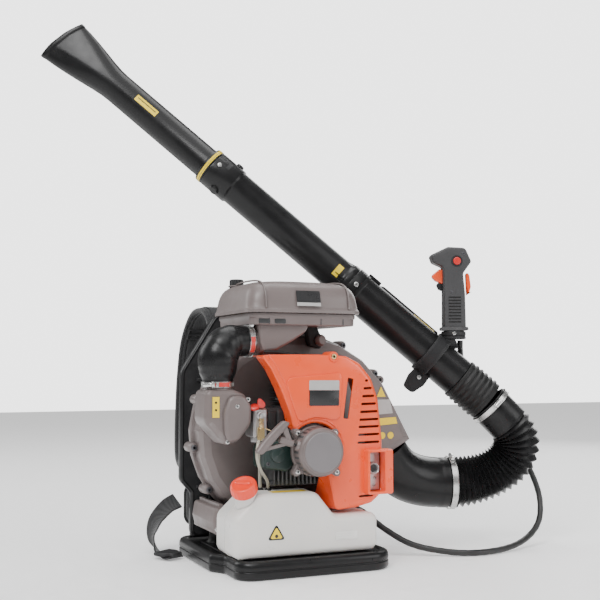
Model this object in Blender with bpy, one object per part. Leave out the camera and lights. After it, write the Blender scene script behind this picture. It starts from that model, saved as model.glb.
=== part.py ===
"""Backpack leaf blower: a two-stroke engine and fan housing on a tray base with a back frame and
harness, an air filter on top, and a swinging blower tube with its handle on a flexible hose.

Units are metres and +Z is up. The origin is the centre of the base's underside. +X is the
operator's right, where the blower tube is, and +Y is the operator's side, where the pads are.
"""
import math

import bmesh
import bpy
from mathutils import Matrix, Vector

GAP = 0.0003                      # clearance between pieces that touch
WALL = 0.0025                     # moulded shell thickness

# Base and frame
BASE_X = (-0.145, 0.150)
BASE_Y = (-0.145, 0.150)
BASE_H = 0.030
DECK_Z = 0.022
FRAME_Y = (0.112, 0.130)
FRAME_H = 0.432

# Crankshaft axis, which runs along Y, and the fan housing around it
AXIS_X = 0.012
AXIS_Z = 0.196
VOLUTE_Y = (-0.005, 0.085)
SPLIT_Y = 0.040
VOLUTE_R0 = 0.130
OUTLET_START = 241.0              # degrees clockwise from straight down, seen from the engine side
OUTLET_LENGTH = 0.118
OUTLET_WIDTH = 0.094
IMPELLER_R = 0.112

# Engine
CRANKCASE_Y = (-0.088, -0.020)
CYLINDER_Y = -0.051
CYLINDER_Z = (0.2385, 0.325)
STARTER_Y = (-0.150, -0.108)
STARTER_R = 0.0395

# Intake and air filter
CARB_Z = 0.243
CARB_Y = -0.068
SPIGOT_R = 0.0205
ELBOW_R = 0.0250
TRAY_Z = 0.402
COVER_Z = (0.4222, 0.479)
COVER_X = (-0.0985, 0.1075)
COVER_Y = (-0.106, 0.087)

# Fuel tank
TANK_Y = (-0.128, -0.032)
CAP_AXIS = Vector((-0.34, -0.42, 0.84)).normalized()
CAP_SEAT = Vector((-0.1075, -0.1115, 0.1320))

# Blower tube: TUBE_ORIGIN is the handle clamp's centre and TUBE_DIR points to the nozzle
ACROSS = Vector((0.9171, -0.3987, 0.0))
DEEP = Vector((0.3987, 0.9171, 0.0))
TUBE_ORIGIN = Vector((0.3158, 0.0219, 0.3567))
TUBE_DIR = Vector((-0.6966, 0.3029, 0.6504)).normalized()
CUFF_DIR = Vector((-0.6420, 0.2791, 0.7141)).normalized()
PIPE_1_R = 0.0370
PIPE_2_R = 0.0330
NOZZLE_R = 0.0302
NOZZLE_WIDTH = 0.098
NOZZLE_THICK = 0.030
PIPE_WALL = 0.0022
JOINT_2 = 0.205
JOINT_1 = 0.547
FLARE = 0.808
NOZZLE_TIP = 0.938
MOUTH_SLANT = 0.85

# Flexible hose between the outlet elbow and the tube's cuff
HOSE_START = Vector((0.3510, 0.0290, 0.1144))
HOSE_R = (0.0480, 0.0395)
HOSE_BORE = 0.0345

# Handle, drawn in the plane of ACROSS and +Z
GRIP_HALF = 0.0165
CABLE_R = 0.0055


def clear_scene():
    """Remove whatever the file holds."""
    for obj in list(bpy.data.objects):
        bpy.data.objects.remove(obj, do_unlink=True)


# ---------------------------------------------------------------------------------------------
# Materials
# ---------------------------------------------------------------------------------------------

PALETTE = {
    "orange_plastic": ((0.89, 0.115, 0.034), 0.32, 0.0),
    "orange_cap": ((0.91, 0.072, 0.021), 0.35, 0.0),
    "grey_housing": ((0.181, 0.147, 0.141), 0.42, 0.0),
    "starter_grey": ((0.181, 0.168, 0.174), 0.40, 0.0),
    "gloss_black": ((0.012, 0.012, 0.013), 0.22, 0.0),
    "matte_black": ((0.020, 0.020, 0.021), 0.60, 0.0),
    "black_rubber": ((0.014, 0.014, 0.014), 0.45, 0.0),
    "grip_grey": ((0.045, 0.045, 0.047), 0.50, 0.0),
    "tank_white": ((0.71, 0.69, 0.66), 0.35, 0.0),
    "fuel_line": ((0.55, 0.52, 0.42), 0.30, 0.0),
    "steel": ((0.62, 0.62, 0.62), 0.28, 1.0),
    "cast_alloy": ((0.52, 0.52, 0.52), 0.45, 1.0),
    "dark_alloy": ((0.20, 0.20, 0.21), 0.50, 1.0),
    "harness_fabric": ((0.018, 0.018, 0.019), 0.85, 0.0),
    "webbing": ((0.015, 0.015, 0.016), 0.80, 0.0),
    "red_plastic": ((0.70, 0.020, 0.015), 0.35, 0.0),
    "filter_foam": ((0.62, 0.55, 0.38), 0.90, 0.0),
    "ceramic": ((0.85, 0.84, 0.80), 0.25, 0.0),
    "cable_black": ((0.016, 0.016, 0.016), 0.42, 0.0),
}


def material(kind, name):
    """A new Principled material in one of the palette's finishes."""
    colour, roughness, metallic = PALETTE[kind]
    made = bpy.data.materials.new(name + "_" + kind)
    made.use_nodes = True
    shader = made.node_tree.nodes["Principled BSDF"]
    shader.inputs["Base Color"].default_value = (*colour, 1.0)
    shader.inputs["Roughness"].default_value = roughness
    shader.inputs["Metallic"].default_value = metallic
    return made


# ---------------------------------------------------------------------------------------------
# Mesh helpers
# ---------------------------------------------------------------------------------------------

def solid(name, kind, verts, faces, smooth=None):
    """One object from vertices and faces, its normals pointing out."""
    mesh = bpy.data.meshes.new(name)
    mesh.from_pydata([tuple(v) for v in verts], [], faces)
    shape = bmesh.new()
    shape.from_mesh(mesh)
    bmesh.ops.remove_doubles(shape, verts=shape.verts, dist=1e-6)
    bmesh.ops.recalc_face_normals(shape, faces=shape.faces)
    shape.to_mesh(mesh)
    shape.free()
    if smooth is not None:
        mesh.shade_smooth()
        mesh.set_sharp_from_angle(angle=math.radians(smooth))
    obj = bpy.data.objects.new(name, mesh)
    bpy.context.scene.collection.objects.link(obj)
    mesh.materials.append(material(kind, name))
    return obj


def along(axis, origin=(0, 0, 0), across=None):
    """A matrix whose local Z runs along axis from origin; local X lies near across."""
    z = Vector(axis).normalized()
    hint = Vector(across) if across is not None else Vector((1, 0, 0))
    if abs(z.dot(hint.normalized())) > 0.95:
        hint = Vector((0, 0, 1))
    x = (hint - z * hint.dot(z)).normalized()
    y = z.cross(x)
    turn = Matrix((x, y, z)).transposed().to_4x4()
    return Matrix.Translation(Vector(origin)) @ turn


def about_pivot(obj, pivot):
    """Put the object's origin on its joint, leaving its shape where it is."""
    obj.data.transform(Matrix.Translation(-Vector(pivot)))
    obj.location = pivot
    return obj


def skin(rings, loop=False):
    """Faces joining rings of equal length, capped at both ends or closed in a loop."""
    count = len(rings[0])
    verts = [v for ring in rings for v in ring]
    faces = []
    spans = len(rings) if loop else len(rings) - 1
    for i in range(spans):
        low = i * count
        high = ((i + 1) % len(rings)) * count
        for j in range(count):
            k = (j + 1) % count
            faces.append((low + j, low + k, high + k, high + j))
    if not loop:
        faces.append(tuple(reversed(range(count))))
        faces.append(tuple(range(len(verts) - count, len(verts))))
    return verts, faces


def turned(name, kind, profile, axis=(0, 0, 1), origin=(0, 0, 0), steps=24, smooth=35):
    """A solid of revolution. profile lists (radius, height) along axis from origin: an open line
    that starts and ends on the axis, or a closed outline that stays clear of it."""
    place = along(axis, origin)
    solid_core = profile[0][0] == 0.0
    verts = []
    faces = []
    index = []
    for radius, height in profile:
        if radius == 0.0:
            verts.append(place @ Vector((0, 0, height)))
            index.append([len(verts) - 1] * steps)
            continue
        start = len(verts)
        for j in range(steps):
            turn = 2 * math.pi * j / steps
            verts.append(place @ Vector((radius * math.cos(turn), radius * math.sin(turn), height)))
        index.append(list(range(start, start + steps)))
    spans = len(profile) - 1 if solid_core else len(profile)
    for i in range(spans):
        low = index[i]
        high = index[(i + 1) % len(profile)]
        for j in range(steps):
            k = (j + 1) % steps
            corners = []
            for corner in (low[j], low[k], high[k], high[j]):
                if corner not in corners:
                    corners.append(corner)
            if len(corners) > 2:
                faces.append(tuple(corners))
    return solid(name, kind, verts, faces, smooth)


def filleted(corners, steps=3):
    """An outline with each (x, y, radius) corner rounded by an arc."""
    outline = []
    count = len(corners)
    for i, (x, y, radius) in enumerate(corners):
        here = Vector((x, y))
        before = (Vector(corners[i - 1][:2]) - here)
        after = (Vector(corners[(i + 1) % count][:2]) - here)
        if radius <= 0:
            outline.append(here)
            continue
        before.normalize()
        after.normalize()
        half = before.angle(after) / 2
        reach = radius / math.tan(half)
        centre = here + (before + after).normalized() * (radius / math.sin(half))
        start = here + before * reach - centre
        end = here + after * reach - centre
        sweep = start.angle_signed(end)
        for j in range(steps + 1):
            turn = -sweep * j / steps
            arm = Vector((start.x * math.cos(turn) - start.y * math.sin(turn),
                          start.x * math.sin(turn) + start.y * math.cos(turn)))
            outline.append(centre + arm)
    return outline


def inset(outline, distance):
    """The outline moved inwards by a distance, point for point."""
    count = len(outline)
    area = sum(outline[i - 1].cross(outline[i]) for i in range(count))
    side = 1.0 if area > 0 else -1.0
    moved = []
    for i in range(count):
        first = (outline[i] - outline[i - 1]).normalized()
        second = (outline[(i + 1) % count] - outline[i]).normalized()
        n1 = Vector((-first.y, first.x)) * side
        n2 = Vector((-second.y, second.x)) * side
        middle = (n1 + n2).normalized()
        moved.append(outline[i] + middle * (distance / max(0.4, middle.dot(n1))))
    return moved


PLANES = {
    "XY": lambda p, h: Vector((p.x, p.y, h)),
    "XZ": lambda p, h: Vector((p.x, h, p.y)),
    "YZ": lambda p, h: Vector((h, p.x, p.y)),
    "GRIP": lambda p, h: ACROSS * p.x + DEEP * h + Vector((0, 0, p.y)),
}


def prism(name, kind, outline, span, plane="XY", bevel=0.0, segments=2):
    """An outline extruded across its plane over span, with optional rounded edges."""
    lift = PLANES[plane]
    points = [Vector(p[:2]) for p in outline]
    verts, faces = skin([[lift(p, span[0]) for p in points], [lift(p, span[1]) for p in points]])
    obj = solid(name, kind, verts, faces)
    if bevel:
        soften(obj, bevel, segments)
    return obj


def soften(obj, width, segments=2):
    """Round the object's sharp edges."""
    edge = obj.modifiers.new("edges", "BEVEL")
    edge.width = width
    edge.segments = segments
    edge.limit_method = "ANGLE"
    edge.angle_limit = math.radians(40)
    return obj


def block(name, kind, low, high, bevel=0.0, segments=2):
    """A box between two corners."""
    outline = [(low[0], low[1]), (high[0], low[1]), (high[0], high[1]), (low[0], high[1])]
    return prism(name, kind, outline, (low[2], high[2]), "XY", bevel, segments)


def combine(obj, other, operation):
    """Join or cut with another object, which is then only a guide."""
    other.hide_render = True
    other.display_type = "WIRE"
    step = obj.modifiers.new(other.name, "BOOLEAN")
    step.object = other
    step.operation = operation
    step.solver = "EXACT"
    return obj


def rod(name, start, end, radius, steps=16):
    """A plain cylinder between two points, for cutting or joining."""
    run = Vector(end) - Vector(start)
    profile = [(0.0, 0.0), (radius, 0.0), (radius, run.length), (0.0, run.length)]
    return turned(name, "matte_black", profile, run, start, steps)


def cup(name, kind, outline, face, rim, plane, rounding, wall=WALL, arcs=3):
    """A shell: a rounded lid at height face, its wall running to an open rim."""
    lift = PLANES[plane]
    way = 1.0 if rim > face else -1.0
    rings = []

    def rounded_rings(shape, top, radius):
        made = []
        for i in range(arcs + 1):
            turn = math.pi / 2 * i / arcs
            shrunk = inset(shape, radius * (1 - math.sin(turn)))
            made.append([lift(p, top + way * radius * (1 - math.cos(turn))) for p in shrunk])
        return made

    rings += rounded_rings(outline, face, rounding)
    rings.append([lift(p, rim) for p in outline])
    inner = inset(outline, wall)
    rings.append([lift(p, rim) for p in inner])
    rings += reversed(rounded_rings(inner, face + way * wall, rounding - wall * 0.5))
    verts, faces = skin(rings)
    return solid(name, kind, verts, faces, 40)


def circle(centre, normal, radius, steps, across):
    """Points of a circle in space."""
    place = along(normal, centre, across)
    return [place @ Vector((radius * math.cos(2 * math.pi * j / steps),
                            radius * math.sin(2 * math.pi * j / steps), 0)) for j in range(steps)]


def tangents(points):
    """Directions along a line of points."""
    found = [(points[1] * 4 - points[0] * 3 - points[2]).normalized()]
    for i in range(1, len(points) - 1):
        found.append((points[i + 1] - points[i - 1]).normalized())
    found.append((points[-1] * 3 - points[-2] * 4 + points[-3]).normalized())
    return found


def duct(name, kind, points, outer, inner, steps=20, across=DEEP):
    """A bent open tube whose outer and inner radii are listed per point."""
    ways = tangents(points)
    rings = [circle(p, w, r, steps, across) for p, w, r in zip(points, ways, outer)]
    bores = [circle(p, w, r, steps, across) for p, w, r in zip(points, ways, inner)]
    verts, faces = skin(rings + list(reversed(bores)), loop=True)
    return solid(name, kind, verts, faces, 50)


def bezier(p0, p1, p2, p3, steps):
    """Points of a cubic curve."""
    points = []
    for i in range(steps + 1):
        t = i / steps
        u = 1 - t
        points.append(p0 * u ** 3 + p1 * 3 * u * u * t + p2 * 3 * u * t * t + p3 * t ** 3)
    return points


def smooth_line(stops, spacing):
    """Evenly spaced points on a smooth curve through the stops."""
    stops = [Vector(s) for s in stops]
    ends = [stops[0] * 2 - stops[1]] + stops + [stops[-1] * 2 - stops[-2]]
    fine = []
    for i in range(len(stops) - 1):
        a, b, c, d = ends[i:i + 4]
        for j in range(24):
            t = j / 24
            fine.append(0.5 * ((2 * b) + (c - a) * t + (2 * a - 5 * b + 4 * c - d) * t * t
                               + (3 * b - a - 3 * c + d) * t ** 3))
    fine.append(stops[-1])
    total = sum((fine[i + 1] - fine[i]).length for i in range(len(fine) - 1))
    count = max(2, round(total / spacing))
    points = [fine[0]]
    walked = 0.0
    for i in range(len(fine) - 1):
        step = (fine[i + 1] - fine[i]).length
        while len(points) < count and walked + step >= total * len(points) / count:
            share = (total * len(points) / count - walked) / step
            points.append(fine[i].lerp(fine[i + 1], share))
        walked += step
    points.append(fine[-1])
    return points


def strip(name, kind, stops, wides, width, thickness, spacing):
    """A flat band along a smooth line; wides point across its width at its two ends."""
    points = smooth_line(stops, spacing)
    rings = []
    for i, (point, way) in enumerate(zip(points, tangents(points))):
        wide = Vector(wides[0]).lerp(Vector(wides[1]), i / (len(points) - 1))
        side = (wide - way * wide.dot(way)).normalized() * (width / 2)
        up = way.cross(side).normalized() * (thickness / 2)
        rings.append([point + side + up, point - side + up, point - side - up, point + side - up])
    verts, faces = skin(rings)
    return solid(name, kind, verts, faces)


def line(name, kind, points, radius, resolution=2):
    """A cable or hose of one radius along points."""
    curve = bpy.data.curves.new(name, "CURVE")
    curve.dimensions = "3D"
    curve.bevel_depth = radius
    curve.bevel_resolution = resolution
    curve.use_fill_caps = True
    spline = curve.splines.new("POLY")
    spline.points.add(len(points) - 1)
    for slot, point in zip(spline.points, points):
        slot.co = (*point, 1.0)
    obj = bpy.data.objects.new(name, curve)
    bpy.context.scene.collection.objects.link(obj)
    curve.materials.append(material(kind, name))
    return obj


# ---------------------------------------------------------------------------------------------
# Base, frame and harness
# ---------------------------------------------------------------------------------------------

def base_outline():
    """The tray's outline, stepped in at its left front."""
    left, right = BASE_X
    front, back = BASE_Y
    step = left + 0.017
    corners = [
        (step, front, 0.032), (right, front, 0.045), (right, back, 0.030), (left, back, 0.030),
        (left, -0.045, 0.012), (step, -0.072, 0.012),
    ]
    return filleted(corners, 4)


def make_base():
    """Tray base with a rounded rim and a sunken deck."""
    base = prism("base_tray", "gloss_black", base_outline(), (0.0, BASE_H), "XY", 0.008, 3)
    deck = [
        (BASE_X[0] + 0.016, -0.028, 0.012), (BASE_X[1] - 0.016, -0.028, 0.012),
        (BASE_X[1] - 0.016, 0.100, 0.012), (BASE_X[0] + 0.016, 0.100, 0.012),
    ]
    sunk = prism("deck_cutter", "gloss_black", filleted(deck), (DECK_Z, BASE_H + 0.02))
    combine(base, sunk, "DIFFERENCE")


def make_frame():
    """Back frame: an upright plate with a carrying slot, standing on the base's rear edge."""
    corners = [
        (-0.125, BASE_H + GAP, 0.004), (0.125, BASE_H + GAP, 0.004), (0.125, 0.110, 0.010),
        (0.146, 0.132, 0.015), (0.146, 0.325, 0.030), (0.078, FRAME_H, 0.025),
        (-0.078, FRAME_H, 0.025), (-0.146, 0.325, 0.030), (-0.146, 0.132, 0.015),
        (-0.125, 0.110, 0.010),
    ]
    frame = prism("back_frame", "matte_black", filleted(corners), FRAME_Y, "XZ", 0.003, 1)
    slot = [(-0.045, 0.385, 0.010), (0.045, 0.385, 0.010), (0.045, 0.412, 0.010), (-0.045, 0.412, 0.010)]
    hand_slot = prism("hand_slot_cutter", "matte_black", filleted(slot), (0.10, 0.14), "XZ")
    combine(frame, hand_slot, "DIFFERENCE")


def make_pads():
    """Back and lumbar pads on the operator's side of the frame."""
    front = FRAME_Y[1] + GAP
    back = [(-0.115, 0.165, 0.03), (0.115, 0.165, 0.03), (0.115, 0.330, 0.03), (0.060, 0.378, 0.03),
            (-0.060, 0.378, 0.03), (-0.115, 0.330, 0.03)]
    prism("back_pad", "harness_fabric", filleted(back), (front, front + 0.020), "XZ", 0.006)
    lumbar = [(-0.132, 0.042, 0.02), (0.132, 0.042, 0.02), (0.132, 0.128, 0.02), (-0.132, 0.128, 0.02)]
    prism("lumbar_pad", "harness_fabric", filleted(lumbar), (front, front + 0.042), "XZ", 0.007)


def make_straps():
    """Shoulder straps, from the frame's top to its lower corners, and both halves of the waist belt."""
    for side, label in ((-1, "left"), (1, "right")):
        shoulder = [
            (side * 0.062, 0.1400, 0.405), (side * 0.066, 0.1700, 0.437), (side * 0.074, 0.2150, 0.432),
            (side * 0.082, 0.2480, 0.385), (side * 0.086, 0.2600, 0.320), (side * 0.090, 0.2560, 0.255),
            (side * 0.096, 0.2380, 0.196), (side * 0.104, 0.2020, 0.158), (side * 0.108, 0.1450, 0.148),
        ]
        strip("shoulder_strap_" + label, "harness_fabric", shoulder, ((1, 0, 0), (1, 0, 0)), 0.050, 0.012,
              0.022)
    belts = {
        "left": [(-0.1370, 0.1640, 0.090), (-0.157, 0.1630, 0.080), (-0.180, 0.1540, 0.058),
                 (-0.190, 0.1360, 0.0330), (-0.186, 0.1140, 0.0130), (-0.176, 0.0930, 0.0058),
                 (-0.165, 0.0740, 0.0050)],
        "right": [(0.1370, 0.1640, 0.090), (0.157, 0.1660, 0.080), (0.178, 0.1720, 0.060),
                  (0.186, 0.1820, 0.0380), (0.180, 0.1960, 0.0180), (0.163, 0.2120, 0.0074),
                  (0.142, 0.2240, 0.0058)],
    }
    for label, stops in belts.items():
        strip("waist_belt_" + label, "webbing", stops, ((0, 0.7, 0.7), (0, 1, 0)), 0.036, 0.003, 0.012)


# ---------------------------------------------------------------------------------------------
# Fan housing
# ---------------------------------------------------------------------------------------------

def volute_radius(angle):
    """Scroll radius at an angle in degrees clockwise from straight down."""
    quarter = angle / 90.0
    return VOLUTE_R0 + 0.024 * quarter + 0.0036 * quarter * quarter


def volute_outline():
    """The scroll's outline in X and Z, closed across the outlet's mouth."""
    points = []
    start = -72.0
    turns = 20
    for i in range(turns + 1):
        angle = start + (OUTLET_START - start) * i / turns
        radius = volute_radius(max(angle, 0.0))
        turn = math.radians(angle)
        points.append(Vector((AXIS_X - radius * math.sin(turn), AXIS_Z - radius * math.cos(turn))))
    way = outlet_way()
    outer_end = points[-1] + way * OUTLET_LENGTH
    inner_end = outer_end + Vector((way.y, -way.x)) * OUTLET_WIDTH
    points.append(points[-1] + way * OUTLET_LENGTH * 0.5)
    points.append(outer_end)
    points.append(inner_end)
    return points


def outlet_way():
    """The outlet's direction in X and Z."""
    turn = math.radians(OUTLET_START - 180.0)
    return Vector((math.cos(turn), -math.sin(turn)))


def outlet_centre():
    """Centre of the outlet's mouth."""
    outline = volute_outline()
    middle = (outline[-1] + outline[-2]) / 2
    return Vector((middle.x, SPLIT_Y, middle.y))


def make_volute():
    """Front and rear halves of the fan housing, cut through at the outlet, shaft and intake."""
    outline = volute_outline()
    way = outlet_way()
    mouth = outlet_centre()
    out = Vector((way.x, 0, way.y))
    front = cup("volute_front", "grey_housing", outline, VOLUTE_Y[0], SPLIT_Y - GAP / 2, "XZ", 0.016, arcs=2)
    rear = cup("volute_rear", "grey_housing", outline, VOLUTE_Y[1], SPLIT_Y + GAP / 2, "XZ", 0.016, arcs=2)
    for half, label in ((front, "front"), (rear, "rear")):
        port = rod("outlet_cutter_" + label, mouth - out * 0.030, mouth + out * 0.020, 0.0345, 20)
        combine(half, port, "DIFFERENCE")
    shaft = rod("shaft_cutter", (AXIS_X, -0.012, AXIS_Z), (AXIS_X, 0.006, AXIS_Z), 0.0100, 12)
    combine(front, shaft, "DIFFERENCE")
    intake = rod("intake_cutter", (AXIS_X, 0.075, AXIS_Z), (AXIS_X, 0.095, AXIS_Z), 0.070, 20)
    combine(rear, intake, "DIFFERENCE")


def make_intake_grille():
    """Slotted guard over the fan's air intake."""
    y = VOLUTE_Y[1] + GAP
    grille = turned("intake_grille", "matte_black",
                    [(0.0, 0.0), (0.084, 0.0), (0.084, 0.004), (0.0, 0.004)],
                    (0, 1, 0), (AXIS_X, y, AXIS_Z), 20)
    for row in range(-2, 3):
        height = AXIS_Z + row * 0.024
        half = math.sqrt(0.066 ** 2 - (row * 0.024) ** 2)
        slot = block("grille_slot_%d" % (row + 2), "matte_black",
                     (AXIS_X - half, y - 0.01, height - 0.008), (AXIS_X + half, y + 0.02, height + 0.008))
        combine(grille, slot, "DIFFERENCE")


def make_impeller():
    """Radial fan: a hub with backward-leaning blades."""
    outline = []
    blades = 13
    for i in range(blades):
        base = 2 * math.pi * i / blades
        for radius, offset in ((0.036, 0.10), (0.075, 0.20), (IMPELLER_R, 0.40), (IMPELLER_R, 0.36),
                               (0.075, 0.15), (0.036, 0.02)):
            turn = base - offset
            outline.append(Vector((AXIS_X + radius * math.cos(turn), AXIS_Z + radius * math.sin(turn))))
    outline.reverse()
    impeller = prism("impeller", "dark_alloy", outline, (0.012, 0.058), "XZ")
    bore = rod("impeller_bore_cutter", (AXIS_X, 0.0, AXIS_Z), (AXIS_X, 0.07, AXIS_Z), 0.0063)
    combine(impeller, bore, "DIFFERENCE")
    about_pivot(impeller, (AXIS_X, 0.035, AXIS_Z))


def make_bracket():
    """Cradle under the fan housing, with the cable's gland, on two rubber mounts."""
    outline = [(-0.120, 0.0590), (0.120, 0.0590), (0.120, 0.105), (0.114, 0.105), (0.114, 0.0645),
               (-0.114, 0.0645), (-0.114, 0.105), (-0.120, 0.105)]
    bracket = prism("support_bracket", "grey_housing", outline, (-0.022, 0.085), "XZ")
    gland = rod("cable_gland", (0.117, 0.0100, 0.0800), (0.1330, 0.0100, 0.0800), 0.0085, 14)
    combine(bracket, gland, "UNION")
    for label, x in (("left", -0.095), ("right", 0.100)):
        profile = [(0.0, 0.0), (0.014, 0.0), (0.011, 0.018), (0.014, 0.0364), (0.0, 0.0364)]
        turned("rubber_mount_" + label, "black_rubber", profile, origin=(x, -0.006, DECK_Z + GAP), steps=16)


# ---------------------------------------------------------------------------------------------
# Engine
# ---------------------------------------------------------------------------------------------

def make_crankcase():
    """Crankcase with bearing seats, the chamber for the crank, and a deck for the cylinder."""
    low, high = CRANKCASE_Y
    profile = [(0.040, low), (0.040, high), (0.0143, high), (0.0143, high - 0.012),
               (0.0285, high - 0.012), (0.0285, low + 0.018), (0.0143, low + 0.018), (0.0143, low)]
    case = turned("crankcase", "cast_alloy", profile, (0, 1, 0), (AXIS_X, 0, AXIS_Z))
    deck = block("crankcase_deck", "cast_alloy", (AXIS_X - 0.032, CYLINDER_Y - 0.030, AXIS_Z + 0.031),
                 (AXIS_X + 0.032, CYLINDER_Y + 0.029, CYLINDER_Z[0] - GAP))
    combine(case, deck, "UNION")
    bore = rod("crankcase_bore_cutter", (AXIS_X, CYLINDER_Y, AXIS_Z + 0.012),
               (AXIS_X, CYLINDER_Y, CYLINDER_Z[0] + 0.01), 0.0243, 20)
    combine(case, bore, "DIFFERENCE")
    for label, start in (("front", low + 0.001), ("rear", high - 0.0115)):
        ring = [(0.0063, start), (0.0140, start), (0.0140, start + 0.0105), (0.0063, start + 0.0105)]
        turned("bearing_" + label, "steel", ring, (0, 1, 0), (AXIS_X, 0, AXIS_Z), 20)


def make_crankshaft():
    """Crankshaft with two webs and a crank pin, at top dead centre."""
    shaft = rod("crankshaft", (AXIS_X, -0.118, AXIS_Z), (AXIS_X, -0.056, AXIS_Z), 0.0060)
    shaft.data.materials[0] = material("steel", "crankshaft")
    pieces = [
        rod("crank_web_a", (AXIS_X, -0.0650, AXIS_Z), (AXIS_X, -0.0550, AXIS_Z), 0.0250, 20),
        rod("crank_pin", (AXIS_X, -0.0580, AXIS_Z + 0.015), (AXIS_X, -0.0440, AXIS_Z + 0.015), 0.0050),
        rod("crank_web_b", (AXIS_X, -0.0470, AXIS_Z), (AXIS_X, -0.0370, AXIS_Z), 0.0250, 20),
        rod("crank_tail", (AXIS_X, -0.0460, AXIS_Z), (AXIS_X, 0.0700, AXIS_Z), 0.0060),
    ]
    for piece in pieces:
        combine(shaft, piece, "UNION")
    about_pivot(shaft, (AXIS_X, -0.118, AXIS_Z))
    flywheel = [(0.0063, -0.0170), (0.046, -0.0170), (0.046, -0.0080), (0.030, -0.0065), (0.0063, -0.0065)]
    wheel = turned("flywheel", "cast_alloy", flywheel, (0, 1, 0), (AXIS_X, 0, AXIS_Z))
    about_pivot(wheel, (AXIS_X, -0.012, AXIS_Z))


def make_cylinder():
    """Finned cylinder, its piston at top dead centre, and the connecting rod."""
    low, high = CYLINDER_Z
    outer = [(0.030, low), (0.032, low + 0.006)]
    fins = 5
    pitch = (high - low - 0.016) / fins
    for i in range(fins):
        start = low + 0.010 + i * pitch
        outer += [(0.029, start), (0.041, start + 0.001), (0.041, start + 0.0035), (0.029, start + 0.0045)]
    outer += [(0.026, high), (0.0075, high), (0.0075, high - 0.012), (0.0240, high - 0.018), (0.0240, low)]
    turned("cylinder", "cast_alloy", outer, origin=(AXIS_X, CYLINDER_Y, 0), steps=16)
    crown = high - 0.022
    piston = [(0.0, crown - 0.006), (0.019, crown - 0.006), (0.019, crown - 0.034), (0.0235, crown - 0.034),
              (0.0235, crown), (0.0, crown)]
    turned("piston", "cast_alloy", piston, origin=(AXIS_X, CYLINDER_Y, 0), steps=20)
    conrod = [(AXIS_X - 0.0045, AXIS_Z + 0.0265), (AXIS_X + 0.0045, AXIS_Z + 0.0265),
              (AXIS_X + 0.0045, crown - 0.009), (AXIS_X - 0.0045, crown - 0.009)]
    prism("connecting_rod", "steel", conrod, (CYLINDER_Y - 0.0035, CYLINDER_Y + 0.0035), "XZ")


def make_ignition():
    """Spark plug, its boot, and the ignition coil."""
    top = CYLINDER_Z[1]
    plug = [(0.0, top - 0.006), (0.0045, top - 0.006), (0.0045, top + GAP), (0.0095, top + GAP),
            (0.0095, top + 0.007), (0.0055, top + 0.009), (0.0050, top + 0.014), (0.0, top + 0.014)]
    turned("spark_plug", "ceramic", plug, origin=(AXIS_X, CYLINDER_Y, 0), steps=16)
    boot = [(0.0, top + 0.0143), (0.0095, top + 0.0143), (0.0085, top + 0.0200), (0.0, top + 0.0225)]
    turned("plug_boot", "black_rubber", boot, origin=(AXIS_X, CYLINDER_Y, 0), steps=16)
    block("ignition_coil", "matte_black", (0.062, -0.0185, 0.196), (0.090, -0.0075, 0.232), 0.002, 1)


def make_exhaust():
    """Muffler on the cylinder's right, with its outlet plate and port behind the cover's window."""
    muffler = block("muffler", "steel", (0.0560, -0.092, 0.140), (0.124, -0.030, 0.226), 0.008)
    neck = rod("muffler_neck", (0.1180, -0.1100, 0.160), (0.1130, -0.085, 0.160), 0.0100, 16)
    combine(muffler, neck, "UNION")
    plate = block("muffler_plate", "steel", (0.1080, -0.1125, 0.1330), (0.1305, -0.1085, 0.1850))
    combine(muffler, plate, "UNION")
    port = rod("muffler_port", (0.1185, -0.1190, 0.164), (0.1185, -0.1100, 0.164), 0.0095, 16)
    combine(muffler, port, "UNION")
    bore = rod("muffler_port_cutter", (0.1185, -0.1250, 0.164), (0.1185, -0.1050, 0.164), 0.0070, 16)
    combine(muffler, bore, "DIFFERENCE")


def make_carburettor():
    """Insulator, carburettor body and its two levers."""
    block("insulator", "matte_black", (-0.0600, -0.086, 0.222), (-0.0295, -0.040, 0.266), 0.002, 1)
    block("carburettor", "cast_alloy", (-0.0850, -0.090, 0.218), (-0.0603, -0.048, 0.266), 0.003, 1)
    arm = [(-0.079, 0.2860, 0.003), (-0.079, 0.2670, 0.003), (-0.067, 0.2670, 0.003), (-0.067, 0.2745, 0.003)]
    choke = prism("choke_lever", "red_plastic", filleted(arm, 2), (-0.094, -0.0903), "XZ")
    about_pivot(choke, (-0.073, -0.092, 0.270))
    arm = [(-0.079, 0.2140, 0.002), (-0.067, 0.2140, 0.002), (-0.067, 0.2350, 0.002), (-0.079, 0.2350, 0.002)]
    throttle = prism("throttle_lever", "steel", filleted(arm, 2), (-0.0925, -0.0903), "XZ")
    about_pivot(throttle, (-0.073, -0.091, 0.231))


def make_air_box():
    """Air chamber between the intake elbow and the carburettor."""
    box = block("air_box", "grey_housing", (-0.168, -0.094, 0.207), (-0.0855, -0.028, 0.296), 0.010, 1)
    neck = rod("air_box_neck", (-0.1375, -0.061, 0.290), (-0.1375, -0.061, 0.316), SPIGOT_R, 20)
    combine(box, neck, "UNION")
    hollow = block("air_box_cutter", "grey_housing", (-0.160, -0.086, 0.215), (-0.0935, -0.036, 0.2835))
    combine(box, hollow, "DIFFERENCE")
    throat = rod("air_box_neck_cutter", (-0.1375, -0.061, 0.2750), (-0.1375, -0.061, 0.330), 0.0170, 16)
    combine(box, throat, "DIFFERENCE")
    port = rod("air_box_port_cutter", (-0.100, CARB_Y, CARB_Z), (-0.080, CARB_Y, CARB_Z), 0.012)
    combine(box, port, "DIFFERENCE")


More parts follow.
